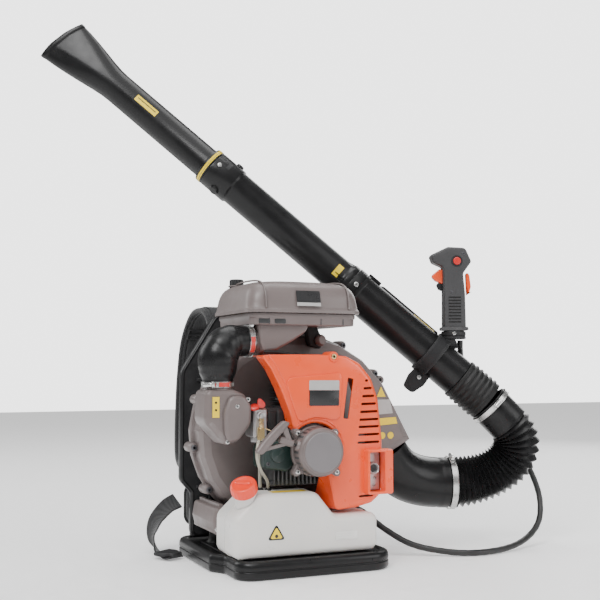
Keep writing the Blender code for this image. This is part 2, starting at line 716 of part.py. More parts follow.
def make_intake():
    """Rubber elbow from the filter neck to the air box."""
    bend = 0.036
    level = 0.376
    points = [Vector((-0.1375, -0.061, 0.2998)), Vector((-0.1375, -0.061, 0.318))]
    for i in range(7):
        turn = math.pi / 2 * i / 6
        points.append(Vector((-0.1375 + bend * (1 - math.cos(turn)), -0.061,
                              level - bend + bend * math.sin(turn))))
    points.append(Vector((-0.0785, -0.061, level)))
    radii = [ELBOW_R, 0.0265, 0.0305, 0.0325, 0.0330, 0.0325, 0.0310, 0.0285, 0.0254, ELBOW_R]
    duct("intake_elbow", "black_rubber", points, radii, [SPIGOT_R + 0.0004] * 10, 16, (0, 1, 0))


def make_filter():
    """Filter tray with its neck and foot, the element, the domed cover and its knob."""
    low = Vector((COVER_X[0] + 0.008, COVER_Y[0] + 0.008))
    high = Vector((COVER_X[1] - 0.008, COVER_Y[1] - 0.008))
    corners = [(low.x, low.y, 0.022), (high.x, low.y, 0.022), (high.x, high.y, 0.022), (low.x, high.y, 0.022)]
    tray = cup("filter_tray", "grey_housing", filleted(corners), TRAY_Z, COVER_Z[0] - GAP, "XY", 0.004)
    top = TRAY_Z + 0.0012
    outline = [(-0.0770, top), (0.016, top), (-0.014, 0.3785), (-0.046, 0.3610), (-0.0660, 0.3570),
               (-0.0720, 0.3690)]
    neck = prism("filter_neck", "grey_housing", outline, (-0.0875, -0.028), "XZ")
    combine(tray, neck, "UNION")
    spigot = rod("filter_neck_spigot", (-0.095, -0.061, 0.3760), (-0.060, -0.061, 0.3760), SPIGOT_R, 20)
    combine(tray, spigot, "UNION")
    foot = block("filter_foot", "grey_housing", (-0.020, 0.005, 0.3915), (0.060, 0.070, top))
    combine(tray, foot, "UNION")
    inlet = rod("filter_neck_cutter_a", (-0.100, -0.061, 0.3760), (-0.034, -0.061, 0.3760), 0.0110, 16)
    combine(tray, inlet, "DIFFERENCE")
    riser = rod("filter_neck_cutter_b", (-0.044, -0.061, 0.3770), (-0.044, -0.061, 0.410), 0.0100, 16)
    combine(tray, riser, "DIFFERENCE")
    block("filter_element", "filter_foam", (-0.075, -0.080, TRAY_Z + WALL + GAP), (0.083, 0.061, 0.448),
          0.010)
    corners = [(COVER_X[0], COVER_Y[0], 0.028), (COVER_X[1], COVER_Y[0], 0.028),
               (COVER_X[1], COVER_Y[1], 0.028), (COVER_X[0], COVER_Y[1], 0.028)]
    outline = filleted(corners, 4)
    levels = [(COVER_Z[0], 0.0), (0.4480, 0.002), (0.4600, 0.006), (0.4680, 0.014), (0.4740, 0.030),
              (0.4780, 0.055), (COVER_Z[1], 0.080)]
    rings = [[Vector((p.x, p.y, z)) for p in shrink(outline, margin)] for z, margin in levels]
    under = []
    for z, margin in levels:
        inside = z - WALL if z > COVER_Z[0] else z
        under.append([Vector((p.x, p.y, inside)) for p in shrink(outline, margin + WALL)])
    verts, faces = skin(list(reversed(rings)) + under)
    cover = solid("filter_cover", "grey_housing", verts, faces, 40)
    stud = rod("filter_stud_cutter", (-0.066, 0.048, 0.45), (-0.066, 0.048, 0.49), 0.0035, 12)
    combine(cover, stud, "DIFFERENCE")
    knob = [(0.0, 0.449), (0.003, 0.449), (0.003, 0.4768), (0.0110, 0.4768), (0.0110, 0.4850),
            (0.008, 0.4875), (0.0, 0.4875)]
    turned("filter_knob", "grey_housing", knob, origin=(-0.066, 0.048, 0), steps=20)


def shrink(outline, margin):
    """The cover's outline scaled in about its centre so that each side moves in by a margin."""
    centre = Vector(((COVER_X[0] + COVER_X[1]) / 2, (COVER_Y[0] + COVER_Y[1]) / 2))
    wide = (COVER_X[1] - COVER_X[0]) / 2
    deep = (COVER_Y[1] - COVER_Y[0]) / 2
    return [Vector((centre.x + (p.x - centre.x) * (wide - margin) / wide,
                    centre.y + (p.y - centre.y) * (deep - margin) / deep)) for p in outline]


# ---------------------------------------------------------------------------------------------
# Covers, starter and fuel
# ---------------------------------------------------------------------------------------------

def cover_outline():
    """The engine cover's face, arched over the starter."""
    arch = 0.0455
    points = [Vector((-0.083, 0.3515)), Vector((-0.066, 0.330)), Vector((-0.050, 0.300)),
              Vector((-0.034, 0.262)), Vector((-0.027, 0.238))]
    for i in range(9):
        turn = math.radians(140 - 25 * i)
        points.append(Vector((AXIS_X + arch * math.cos(turn), AXIS_Z + arch * math.sin(turn))))
    return points


def make_engine_cover():
    """Moulded engine cover: a face arched over the starter, and a wall over its top, right and
    underside."""
    edge = [(0.048, 0.098), (0.090, 0.100), (0.118, 0.106), (0.133, 0.118), (0.1385, 0.140),
            (0.1385, 0.210), (0.131, 0.280), (0.118, 0.315), (0.096, 0.340), (0.070, 0.351),
            (0.020, 0.3535), (-0.030, 0.3535), (-0.062, 0.3530)]
    edge = [Vector(p) for p in edge]
    face = cover_outline() + edge
    cover = prism("engine_cover", "orange_plastic", face, (-0.1180, -0.1150), "XZ")
    closed = inset(cover_outline()[:1] + edge, 0.0004)[1:]
    thick = inset(cover_outline()[:1] + edge, 0.0030)[1:]
    wall = prism("engine_cover_wall", "orange_plastic", closed + list(reversed(thick)),
                 (-0.1165, -0.024), "XZ")
    combine(cover, wall, "UNION")
    guard = block("muffler_guard", "orange_plastic", (0.101, -0.1330, 0.122), (0.149, -0.1165, 0.196))
    combine(cover, guard, "UNION")
    port = block("engine_cover_cutter", "orange_plastic", (0.106, -0.140, 0.127), (0.133, -0.110, 0.191))
    combine(cover, port, "DIFFERENCE")
    for i in range(5):
        height = 0.205 + 0.0225 * i
        slot = block("louvre_cutter_%d" % i, "orange_plastic", (0.096, -0.125, height - 0.0035),
                     (0.1280 - 0.001 * i, -0.110, height + 0.0035))
        combine(cover, slot, "DIFFERENCE")


def make_starter():
    """Recoil starter: housing with its centre post, rope pulley, rope and grip."""
    low, high = STARTER_Y
    profile = [(0.0, low), (0.031, low), (STARTER_R - 0.003, low + 0.004), (STARTER_R, low + 0.010),
               (STARTER_R, high), (STARTER_R - 0.003, high), (STARTER_R - 0.003, low + 0.011),
               (STARTER_R - 0.0055, low + 0.0065), (0.030, low + 0.0035), (0.0045, low + 0.0035),
               (0.0045, low + 0.022), (0.0, low + 0.022)]
    turned("starter_housing", "starter_grey", profile, (0, 1, 0), (AXIS_X, 0, AXIS_Z), 20)
    pulley = [(0.0050, low + 0.006), (0.0290, low + 0.006), (0.0240, low + 0.010), (0.0240, low + 0.013),
              (0.0290, low + 0.017), (0.0290, low + 0.0185), (0.0050, low + 0.0185)]
    wheel = turned("starter_pulley", "matte_black", pulley, (0, 1, 0), (AXIS_X, 0, AXIS_Z), 16)
    about_pivot(wheel, (AXIS_X, low + 0.012, AXIS_Z))
    exit_point = rope_exit()
    way = rope_way()
    rope = smooth_line([exit_point + way * 0.0006, exit_point + way * 0.0080], 0.004)
    line("starter_rope", "webbing", rope, 0.0016)
    bar_centre = exit_point + way * 0.0460
    bar_way = Vector((0.694, 0, 0.720)).normalized()
    grip = rod("starter_grip", bar_centre - bar_way * 0.032, bar_centre + bar_way * 0.032, 0.0065, 14)
    grip.data.materials[0] = material("grip_grey", "starter_grip")
    stem = rod("starter_grip_stem", exit_point + way * 0.0085, bar_centre, 0.0060, 12)
    combine(grip, stem, "UNION")
    about_pivot(grip, exit_point + way * 0.0085)


def rope_way():
    """Direction in which the starter rope is pulled."""
    return Vector((-0.955, -0.06, 0.29)).normalized()


def rope_exit():
    """Where the starter rope leaves the housing."""
    way = rope_way()
    flat = Vector((way.x, 0, way.z)).normalized()
    return Vector((AXIS_X, (STARTER_Y[0] + STARTER_Y[1]) / 2 - 0.004, AXIS_Z)) + flat * (STARTER_R + 0.0012)


def tank_outline(wall=0.0):
    """The tank seen from its face, a tall lobe on the left and a low one on the right, moved in by
    a wall's thickness."""
    corners = [Vector(p) for p in ((-0.131, BASE_H + GAP), (0.123, BASE_H + GAP), (0.123, 0.0920),
                                   (0.044, 0.0920), (0.012, 0.1310), (-0.092, 0.1310), (-0.131, 0.0940))]
    radii = (0.014, 0.014, 0.010, 0.012, 0.016, 0.010, 0.016)
    return filleted([(p.x, p.y, r - wall * 0.9) for p, r in zip(inset(corners, wall), radii)], 2)


def make_tank():
    """Blow-moulded fuel tank, hollow, with a tilted filler neck, and its screw cap."""
    tank = prism("fuel_tank", "tank_white", tank_outline(), TANK_Y, "XZ", 0.009, 2)
    neck = rod("tank_neck", CAP_SEAT - CAP_AXIS * 0.030, CAP_SEAT + CAP_AXIS * 0.002, 0.0165, 20)
    combine(tank, neck, "UNION")
    room = prism("tank_cutter", "tank_white", tank_outline(0.0070), (TANK_Y[0] + 0.005, TANK_Y[1] - 0.005),
                 "XZ")
    combine(tank, room, "DIFFERENCE")
    filler = rod("tank_filler_cutter", CAP_SEAT - CAP_AXIS * 0.045, CAP_SEAT + CAP_AXIS * 0.010, 0.0135, 20)
    combine(tank, filler, "DIFFERENCE")
    cap = [(0.0, 0.0), (0.0210, 0.0), (0.0215, 0.0020), (0.0215, 0.0160), (0.0190, 0.0185), (0.0, 0.0190)]
    lid = turned("fuel_cap", "orange_cap", cap, CAP_AXIS, CAP_SEAT + CAP_AXIS * 0.0026, 24)
    about_pivot(lid, CAP_SEAT)


def make_fuel_lines():
    """Fuel line from the tank's top up to the carburettor."""
    top = 0.1310 + GAP * 3
    feed = smooth_line([(-0.066, -0.070, top + 0.0002), (-0.068, -0.074, 0.150), (-0.070, -0.078, 0.180),
                        (-0.0700, -0.079, 0.2175)], 0.007)
    line("fuel_line", "fuel_line", feed, 0.0026)


# ---------------------------------------------------------------------------------------------
# Blower tube
# ---------------------------------------------------------------------------------------------

def cuff_point(distance):
    """A point on the cuff's axis, below the sleeve."""
    return TUBE_ORIGIN - TUBE_DIR * 0.1390 - CUFF_DIR * distance


def make_outlet():
    """Elbow from the fan housing to the hose, and the hose with its two clamps."""
    way = outlet_way()
    out = Vector((way.x, 0, way.y))
    start = outlet_centre() + out * 0.0010
    ahead = Vector((0.952, -0.305, 0.0)).normalized()
    points = bezier(start, start + out * 0.060, HOSE_START - ahead * 0.050, HOSE_START, 6)
    duct("outlet_elbow", "gloss_black", points, [0.0460] * 7, [0.0425] * 7, 18)
    first = HOSE_START + ahead * 0.0010
    last = cuff_point(0.0560)
    bends = 16
    hose = bezier(first, first + ahead * 0.112, last - CUFF_DIR * 0.062, last, bends)
    outer = [HOSE_R[0] + (HOSE_R[1] - HOSE_R[0]) * i / bends for i in range(bends + 1)]
    cuff = [cuff_point(0.0280), cuff_point(0.0006)]
    duct("flex_hose", "black_rubber", hose + cuff, outer + [HOSE_R[1]] * 2, [HOSE_BORE] * (bends + 3), 16)
    ring = [(HOSE_R[0] + 0.0006, 0.0), (HOSE_R[0] + 0.0026, 0.0), (HOSE_R[0] + 0.0026, 0.010),
            (HOSE_R[0] + 0.0006, 0.010)]
    ways = tangents(hose)
    turned("hose_clamp_lower", "steel", ring, ways[0], hose[0] + ways[0] * 0.0010, 24)


def make_wand():
    """Cuff clamp, ribbed sleeve, the two tube sections and the nozzle."""
    band = [(0.0403, 0.0), (0.0423, 0.0), (0.0423, 0.0090), (0.0403, 0.0090)]
    turned("cuff_clamp", "steel", band, CUFF_DIR, cuff_point(0.0140), 24)
    sleeve = [(0.0345, -0.1350), (0.0385, -0.1350), (0.0410, -0.1310), (0.0410, -0.0720), (0.0385, -0.0683),
              (0.0345, -0.0683)]
    turned("ribbed_sleeve", "black_rubber", sleeve, TUBE_DIR, TUBE_ORIGIN, 20)
    inner = PIPE_1_R - PIPE_WALL
    profile = [(PIPE_1_R, -0.0680), (PIPE_1_R, JOINT_2 - 0.0250), (PIPE_1_R + 0.0015, JOINT_2 - 0.0230),
               (PIPE_1_R + 0.0015, JOINT_2 - 0.0005), (inner, JOINT_2 - 0.0005), (inner, -0.0680)]
    pipe_1 = turned("pipe_1", "gloss_black", profile, TUBE_DIR, TUBE_ORIGIN, 24)
    inner = PIPE_2_R - PIPE_WALL
    plug = PIPE_1_R - PIPE_WALL - 0.0006
    cup_r = PIPE_2_R + 0.0028
    profile = [(plug, JOINT_2 - 0.0200), (plug, JOINT_2), (PIPE_1_R + 0.0005, JOINT_2),
               (PIPE_1_R + 0.0005, JOINT_2 + 0.010), (PIPE_2_R, JOINT_2 + 0.014), (PIPE_2_R, JOINT_1 - 0.058),
               (cup_r, JOINT_1 - 0.055), (cup_r, JOINT_1 - 0.0005), (NOZZLE_R + 0.0004, JOINT_1 - 0.0005),
               (NOZZLE_R + 0.0004, JOINT_1 - 0.030), (inner, JOINT_1 - 0.034), (inner, JOINT_2 - 0.0200)]
    pipe_2 = turned("pipe_2", "gloss_black", profile, TUBE_DIR, TUBE_ORIGIN, 20)
    make_nozzle()
    about_pivot(pipe_1, TUBE_ORIGIN)
    about_pivot(pipe_2, TUBE_ORIGIN + TUBE_DIR * JOINT_2)


def make_nozzle():
    """Nozzle: a round tube that widens into a flat mouth, cut on a slant."""
    steps = 18
    wide = TUBE_DIR.cross(DEEP).normalized()

    def section(distance, half_wide, half_thick, power, slant):
        ring = []
        for j in range(steps):
            turn = 2 * math.pi * (j + 0.5) / steps
            c, s = math.cos(turn), math.sin(turn)
            x = math.copysign(abs(c) ** power, c) * half_wide
            y = math.copysign(abs(s) ** power, s) * half_thick
            ring.append(TUBE_ORIGIN + TUBE_DIR * (distance + y * slant) + wide * x + DEEP * y)
        return ring

    band = NOZZLE_R + 0.0035
    stations = [
        (JOINT_1 - 0.028, NOZZLE_R, NOZZLE_R, 1.0, 0.0), (JOINT_1, NOZZLE_R, NOZZLE_R, 1.0, 0.0),
        (JOINT_1, band, band, 1.0, 0.0), (JOINT_1 + 0.012, band, band, 1.0, 0.0),
        (JOINT_1 + 0.014, NOZZLE_R, NOZZLE_R, 1.0, 0.0), (FLARE - 0.02, NOZZLE_R, NOZZLE_R, 1.0, 0.0),
        (FLARE + 0.03, 0.0370, 0.0280, 0.85, 0.1), (FLARE + 0.08, 0.0455, 0.0215, 0.70, 0.4),
        (NOZZLE_TIP, NOZZLE_WIDTH / 2, NOZZLE_THICK / 2, 0.60, MOUTH_SLANT),
    ]
    outer = [section(*s) for s in stations]
    bore = [section(d, w - PIPE_WALL, t - PIPE_WALL, p, s) for d, w, t, p, s in stations if w != band]
    verts, faces = skin(outer + list(reversed(bore)), loop=True)
    nozzle = solid("nozzle", "gloss_black", verts, faces, 40)
    about_pivot(nozzle, TUBE_ORIGIN + TUBE_DIR * JOINT_1)


# ---------------------------------------------------------------------------------------------
# Handle and throttle cable
# ---------------------------------------------------------------------------------------------

GRIP_DEPTH = TUBE_ORIGIN.dot(DEEP)


def grip_point(across, up, deep=0.0):
    """A point of the handle from its place in the plane of ACROSS and +Z."""
    return ACROSS * across + DEEP * (GRIP_DEPTH + deep) + Vector((0, 0, up))


def make_handle_clamp():
    """Clamp ring on the first tube, and the collar that the grip stands in."""
    ring = [(PIPE_1_R + GAP, -0.0140), (0.0425, -0.0140), (0.0425, 0.0125), (PIPE_1_R + GAP, 0.0125)]
    clamp = turned("handle_clamp", "matte_black", ring, TUBE_DIR, TUBE_ORIGIN, 24)
    stem = prism("clamp_stem", "matte_black",
                 [(0.286, 0.345), (0.326, 0.345), (0.326, 0.392), (0.290, 0.392)],
                 (GRIP_DEPTH - 0.015, GRIP_DEPTH + 0.015), "GRIP")
    combine(clamp, stem, "UNION")
    foot = grip_point(0.3240, 0.3860)
    collar = rod("handle_collar", foot, foot + Vector((0, 0, 0.0157)), 0.0235, 20)
    combine(clamp, collar, "UNION")
    saddle = rod("clamp_cutter", TUBE_ORIGIN - TUBE_DIR * 0.10, TUBE_ORIGIN + TUBE_DIR * 0.10,
                 PIPE_1_R + GAP, 24)
    combine(clamp, saddle, "DIFFERENCE")


def make_grip():
    """Two grip halves, the throttle trigger, the cruise lever and the stop switch."""
    shift = 0.0336
    corners = [
        (0.2694, 0.4020, 0.004), (0.3131, 0.4020, 0.004), (0.3120, 0.4715, 0.020), (0.3085, 0.5100, 0.010),
        (0.3245, 0.5322, 0.006), (0.3130, 0.5590, 0.010), (0.2800, 0.5607, 0.010), (0.2448, 0.5440, 0.005),
        (0.2500, 0.5300, 0.004), (0.2690, 0.5215, 0.006), (0.2700, 0.4715, 0.020),
    ]
    outline = filleted([(x + shift, z, r) for x, z, r in corners], 2)
    near, far = GRIP_DEPTH - GRIP_HALF, GRIP_DEPTH + GRIP_HALF
    halves = {
        "grip_near": (near, GRIP_DEPTH - GAP / 2),
        "grip_far": (GRIP_DEPTH + GAP / 2, far),
    }
    for label, span in halves.items():
        half = prism(label, "grip_grey", outline, span, "GRIP", 0.006, 1)
        low = GRIP_DEPTH - 0.0075
        slot = [(0.255 + shift, 0.4800), (0.2875 + shift, 0.4860), (0.2875 + shift, 0.5180),
                (0.255 + shift, 0.5200)]
        room = prism(label + "_trigger_cutter", "grip_grey", slot, (low, GRIP_DEPTH + 0.0075), "GRIP")
        combine(half, room, "DIFFERENCE")
        if label == "grip_near":
            well = rod("switch_cutter", grip_point(0.2960 + shift, 0.5330, -GRIP_HALF - 0.01),
                       grip_point(0.2960 + shift, 0.5330, -GRIP_HALF + 0.0095), 0.0080, 16)
            combine(half, well, "DIFFERENCE")
    lever = [(0.2790, 0.5165, 0.002), (0.2640, 0.5185, 0.002), (0.2480, 0.5050, 0.003),
             (0.2560, 0.4960, 0.004), (0.2700, 0.4900, 0.003), (0.2790, 0.5000, 0.002)]
    outline = filleted([(x + shift, z, r) for x, z, r in lever], 1)
    trigger = prism("trigger", "orange_plastic", outline, (GRIP_DEPTH - 0.0065, GRIP_DEPTH + 0.0065), "GRIP")
    about_pivot(trigger, grip_point(0.2750 + shift, 0.5130))
    lever = [(0.3165, 0.5165, 0.002), (0.3215, 0.5060, 0.003), (0.3240, 0.4850, 0.004),
             (0.3205, 0.4730, 0.003), (0.3155, 0.4690, 0.002), (0.3150, 0.4850, 0.003),
             (0.3140, 0.5080, 0.002)]
    outline = filleted([(x + shift, z, r) for x, z, r in lever], 1)
    cruise = prism("cruise_lever", "orange_plastic", outline, (GRIP_DEPTH - 0.006, GRIP_DEPTH + 0.006),
                   "GRIP")
    about_pivot(cruise, grip_point(0.3175 + shift, 0.5110))
    face = grip_point(0.2960 + shift, 0.5330, -GRIP_HALF + 0.0055)
    button = rod("stop_switch", face, face - DEEP * 0.0085, 0.0074, 16)
    button.data.materials[0] = material("red_plastic", "stop_switch")
    about_pivot(button, face)


def make_cable():
    """Throttle cable: from the collar behind the tube, down to the ground and into the machine."""
    route = [
        (0.3714, 0.0065, 0.3835), (0.3728, 0.0090, 0.3710), (0.3850, 0.0240, 0.3470),
        (0.4060, 0.0350, 0.3190),
        (0.4310, 0.0360, 0.2850), (0.4620, 0.0270, 0.2330), (0.4890, 0.0110, 0.1900),
        (0.5060, -0.0030, 0.1560), (0.5190, -0.0170, 0.1190), (0.5210, -0.0320, 0.0810),
        (0.5060, -0.0480, 0.0440), (0.4680, -0.0650, 0.0190), (0.4080, -0.0880, 0.0075),
        (0.3360, -0.1000, 0.0058), (0.2830, -0.0800, 0.0080), (0.2320, -0.0480, 0.0190),
        (0.1930, -0.0190, 0.0440), (0.1630, 0.0030, 0.0720), (0.1480, 0.0094, 0.0795),
        (0.1340, 0.0100, 0.0800),
    ]
    line("throttle_cable", "cable_black", smooth_line(route, 0.0165), CABLE_R, 2)


def main():
    clear_scene()
    make_base()
    make_frame()
    make_pads()
    make_straps()
    make_volute()
    make_intake_grille()
    make_impeller()
    make_bracket()
    make_crankcase()
    make_crankshaft()
    make_cylinder()
    make_ignition()
    make_exhaust()
    make_carburettor()
    make_air_box()
    make_intake()
    make_filter()
    make_engine_cover()
    make_starter()
    make_tank()
    make_fuel_lines()
    make_outlet()
    make_wand()
    make_handle_clamp()
    make_grip()
    make_cable()


main()
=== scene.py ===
"""Visual model of the backpack leaf blower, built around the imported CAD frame."""
from math import copysign, cos, exp, pi, radians, sin, sqrt, tan, tau

import bmesh
import bpy
from mathutils import Matrix, Vector


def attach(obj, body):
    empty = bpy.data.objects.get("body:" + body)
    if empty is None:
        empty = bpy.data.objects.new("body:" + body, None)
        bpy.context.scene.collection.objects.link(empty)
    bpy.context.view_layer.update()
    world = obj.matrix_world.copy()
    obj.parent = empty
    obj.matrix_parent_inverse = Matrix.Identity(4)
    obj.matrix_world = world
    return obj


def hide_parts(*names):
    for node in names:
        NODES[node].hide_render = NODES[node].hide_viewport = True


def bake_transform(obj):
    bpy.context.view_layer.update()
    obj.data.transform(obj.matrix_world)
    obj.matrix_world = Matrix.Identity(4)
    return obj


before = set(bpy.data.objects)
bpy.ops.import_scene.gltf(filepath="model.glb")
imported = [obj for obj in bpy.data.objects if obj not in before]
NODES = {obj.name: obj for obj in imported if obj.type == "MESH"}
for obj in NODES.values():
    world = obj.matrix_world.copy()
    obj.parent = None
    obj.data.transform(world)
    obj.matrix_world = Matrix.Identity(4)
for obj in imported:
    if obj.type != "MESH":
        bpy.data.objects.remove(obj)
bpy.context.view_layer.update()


def vec(*values):
    return Vector(values)


# Shared geometry of the CAD frame, in metres
ACROSS = vec(0.9171, -0.3987, 0.0)
DEEP = vec(0.3987, 0.9171, 0.0)
UP = vec(0.0, 0.0, 1.0)
TUBE_ORIGIN = vec(0.3158, 0.0219, 0.3567)
TUBE_DIR = vec(-0.6966, 0.3029, 0.6504).normalized()
TUBE_TOP = DEEP.cross(TUBE_DIR).normalized()
CUFF_DIR = vec(-0.642, 0.2791, 0.7141).normalized()
HOSE_START = vec(0.351, 0.029, 0.1144)
GRIP_DEPTH = TUBE_ORIGIN.dot(DEEP)
GRIP_SHIFT = 0.0336
AXIS_X = 0.012
AXIS_Z = 0.196
CAP_AXIS = vec(-0.34, -0.42, 0.84).normalized()
CAP_SEAT = vec(-0.1075, -0.1115, 0.132)
MACHINE = "machine"
WAND = "wand"
ROPE_RADIUS = 0.0017
ROPE_RINGS = 60
SMOOTH_ANGLE = radians(38)

# Camera, in metres, millimetres and degrees
CAMERA_AT = (-0.6644, -1.6107, 0.333)
CAMERA_TURN = (90.0 + 3.85, 0.0, -23.5)
LENS, SENSOR = 59.7, 36.0

# Light and floor
WHITE = (1.0, 1.0, 1.0)
LIT_POINT = (0.05, 0.0, 0.35)
SOFTBOXES = {"key": ((-1.7, -1.5, 2.3), (1.2, 1.2), 52.0), "fill": ((1.9, -2.0, 1.2), (1.4, 1.4), 25.0),
    "top": ((0.3, 0.4, 2.6), (1.8, 1.2), 30.0), "back_left": ((-1.8, 1.8, 1.6), (1.2, 1.6), 27.0),
    "back_right": ((2.0, 1.6, 1.4), (1.2, 1.6), 24.0)}
SUN_STRENGTH, SUN_SPREAD, SUN_TURN = 1.7, 60, (28, -16, 0)
SKY_LIGHT, SKY_SEEN = 0.26, 3.2
FLOOR_HALF, FLOOR_THICK, FLOOR_GAP = 6.0, 0.01, 0.0002
FLOOR_GLOW = 0.3
DARK_SPECULAR = 0.26


# Materials

class Graph:
    """A material's node tree, with short calls for the nodes used here."""

    def __init__(self, name, colour, rough, metal=0.0):
        self.material = bpy.data.materials.new(name)
        self.material.use_nodes = True
        self.tree = self.material.node_tree
        self.shader = self.tree.nodes["Principled BSDF"]
        self.shader.inputs["Base Color"].default_value = (*colour, 1.0)
        self.shader.inputs["Roughness"].default_value = rough
        self.shader.inputs["Metallic"].default_value = metal
        self.material.diffuse_color = (*colour, 1.0)
        self.place = self.node("ShaderNodeTexCoord").outputs["Object"]
        self.height = None

    def node(self, kind, links=None, **values):
        made = self.tree.nodes.new(kind)
        for key, value in values.items():
            if hasattr(made, key):
                setattr(made, key, value)
            else:
                made.inputs[key].default_value = value
        for key, source in (links or {}).items():
            self.tree.links.new(source, made.inputs[key])
        return made

    def noise(self, scale, detail=3.0, rough=0.55, stretch=None):
        source = self.place
        if stretch:
            source = self.node("ShaderNodeMapping", {"Vector": source}, Scale=stretch).outputs["Vector"]
        made = self.node("ShaderNodeTexNoise", {"Vector": source}, Scale=scale, Detail=detail)
        made.inputs["Roughness"].default_value = rough
        return made.outputs["Fac"]

    def spread(self, source, low, high, new_low, new_high):
        made = self.node("ShaderNodeMapRange", {"Value": source})
        for key, value in (("From Min", low), ("From Max", high), ("To Min", new_low),
                ("To Max", new_high)):
            made.inputs[key].default_value = value
        return made.outputs["Result"]

    def blend(self, factor, first, second):
        made = self.node("ShaderNodeMix", data_type="RGBA")
        self.tree.links.new(factor, made.inputs[0])
        for slot, value in ((6, first), (7, second)):
            if isinstance(value, tuple):
                made.inputs[slot].default_value = (*value, 1.0)
            else:
                self.tree.links.new(value, made.inputs[slot])
        return made.outputs[2]

    def maths(self, kind, first, second=0.0):
        made = self.node("ShaderNodeMath", operation=kind)
        for slot, value in enumerate((first, second)):
            if isinstance(value, (int, float)):
                made.inputs[slot].default_value = value
            else:
                self.tree.links.new(value, made.inputs[slot])
        return made.outputs[0]

    def colour(self, source):
        self.tree.links.new(source, self.shader.inputs["Base Color"])

    def rough(self, source):
        self.tree.links.new(source, self.shader.inputs["Roughness"])

    def bump(self, source, strength, distance):
        made = self.node("ShaderNodeBump", {"Height": source}, Strength=strength, Distance=distance)
        if self.height is not None:
            self.tree.links.new(self.height, made.inputs["Normal"])
        self.height = made.outputs["Normal"]
        self.tree.links.new(self.height, self.shader.inputs["Normal"])


def tinted(colour, factor):
    return tuple(min(1.0, c * factor) for c in colour)


def moulded(name, colour, rough, grain=0.15, shift=0.1, coat=0.0, edge=0.25, fine=1400.0):
    """Injection-moulded plastic: fine grain, uneven gloss, slight colour drift and rubbed edges."""
    g = Graph(name, colour, rough)
    drift = g.spread(g.noise(14.0), 0.3, 0.7, 0.0, 1.0)
    body = g.blend(drift, tinted(colour, 1.0 - shift), tinted(colour, 1.0 + shift))
    point = g.node("ShaderNodeNewGeometry").outputs["Pointiness"]
    worn = g.maths("MULTIPLY", g.spread(point, 0.53, 0.6, 0.0, edge), g.spread(g.noise(60.0), 0.35, 0.7,
        0.2, 1.0))
    pale = tuple(c * 0.6 + 0.3 for c in colour)
    g.colour(g.blend(worn, body, pale))
    g.rough(g.spread(g.noise(38.0, 4.0), 0.25, 0.75, rough - 0.06, rough + 0.1))
    g.bump(g.noise(fine, 2.0), grain, 0.00012)
    g.bump(g.noise(22.0, 2.0), 0.05, 0.0015)
    g.shader.inputs["Coat Weight"].default_value = coat
    g.shader.inputs["Coat Roughness"].default_value = 0.08
    return g.material


def rubbery(name, colour, rough):
    """Moulded rubber with a dusty bloom and fine pitting."""
    g = Graph(name, colour, rough)
    dust = g.spread(g.noise(26.0, 5.0), 0.45, 0.75, 0.0, 0.35)
    g.colour(g.blend(dust, colour, tuple(c + 0.03 for c in colour)))
    g.rough(g.spread(g.noise(50.0, 4.0), 0.25, 0.75, rough - 0.07, rough + 0.16))
    g.bump(g.noise(900.0, 3.0), 0.2, 0.00015)
    return g.material


def metal(name, colour, rough, cast=False):
    """Bright strip steel with drawn lines, or sand-cast alloy with a coarse skin."""
    g = Graph(name, colour, rough, 1.0)
    if cast:
        speck = g.noise(420.0, 4.0)
        g.colour(g.blend(g.spread(g.noise(30.0), 0.3, 0.7, 0.0, 1.0), tinted(colour, 0.82),
            tinted(colour, 1.1)))
        g.rough(g.spread(speck, 0.3, 0.7, rough - 0.05, rough + 0.2))
        g.bump(speck, 0.35, 0.0004)
        return g.material
    drawn = g.noise(260.0, 3.0, stretch=(1.0, 1.0, 14.0))
    g.colour(g.blend(g.spread(drawn, 0.3, 0.7, 0.0, 1.0), tinted(colour, 0.86), tinted(colour, 1.12)))
    g.rough(g.spread(drawn, 0.25, 0.75, rough - 0.06, rough + 0.14))
    g.bump(drawn, 0.08, 0.0002)
    return g.material


def waves(g, scale, direction, turn=None):
    """Parallel ridges across the object."""
    source = g.place
    if turn:
        source = g.node("ShaderNodeMapping", {"Vector": source}, Rotation=turn).outputs["Vector"]
    made = g.node("ShaderNodeTexWave", {"Vector": source}, Scale=scale)
    made.bands_direction = direction
    return made.outputs["Fac"]


def woven(name, colour, threads, rough=0.82):
    """Woven webbing: crossed threads and a faint sheen."""
    g = Graph(name, colour, rough)
    cross = g.maths("MULTIPLY", waves(g, threads, "DIAGONAL"), waves(g, threads, "DIAGONAL",
        (0.0, pi / 2, pi / 2)))
    fuzz = g.noise(500.0, 4.0)
    # The colour follows the thread relief: a painted highlight on the raised threads and painted shade
    # between them.
    g.colour(g.blend(g.spread(cross, 0.0, 0.7, 0.0, 1.0), tinted(colour, 0.55), tinted(colour, 1.9)))
    g.rough(g.spread(fuzz, 0.3, 0.7, rough - 0.08, rough + 0.1))
    g.bump(cross, 0.5, 0.0005)
    g.bump(fuzz, 0.25, 0.0003)
    g.shader.inputs["Sheen Weight"].default_value = 0.25
    g.shader.inputs["Sheen Roughness"].default_value = 0.5
    return g.material


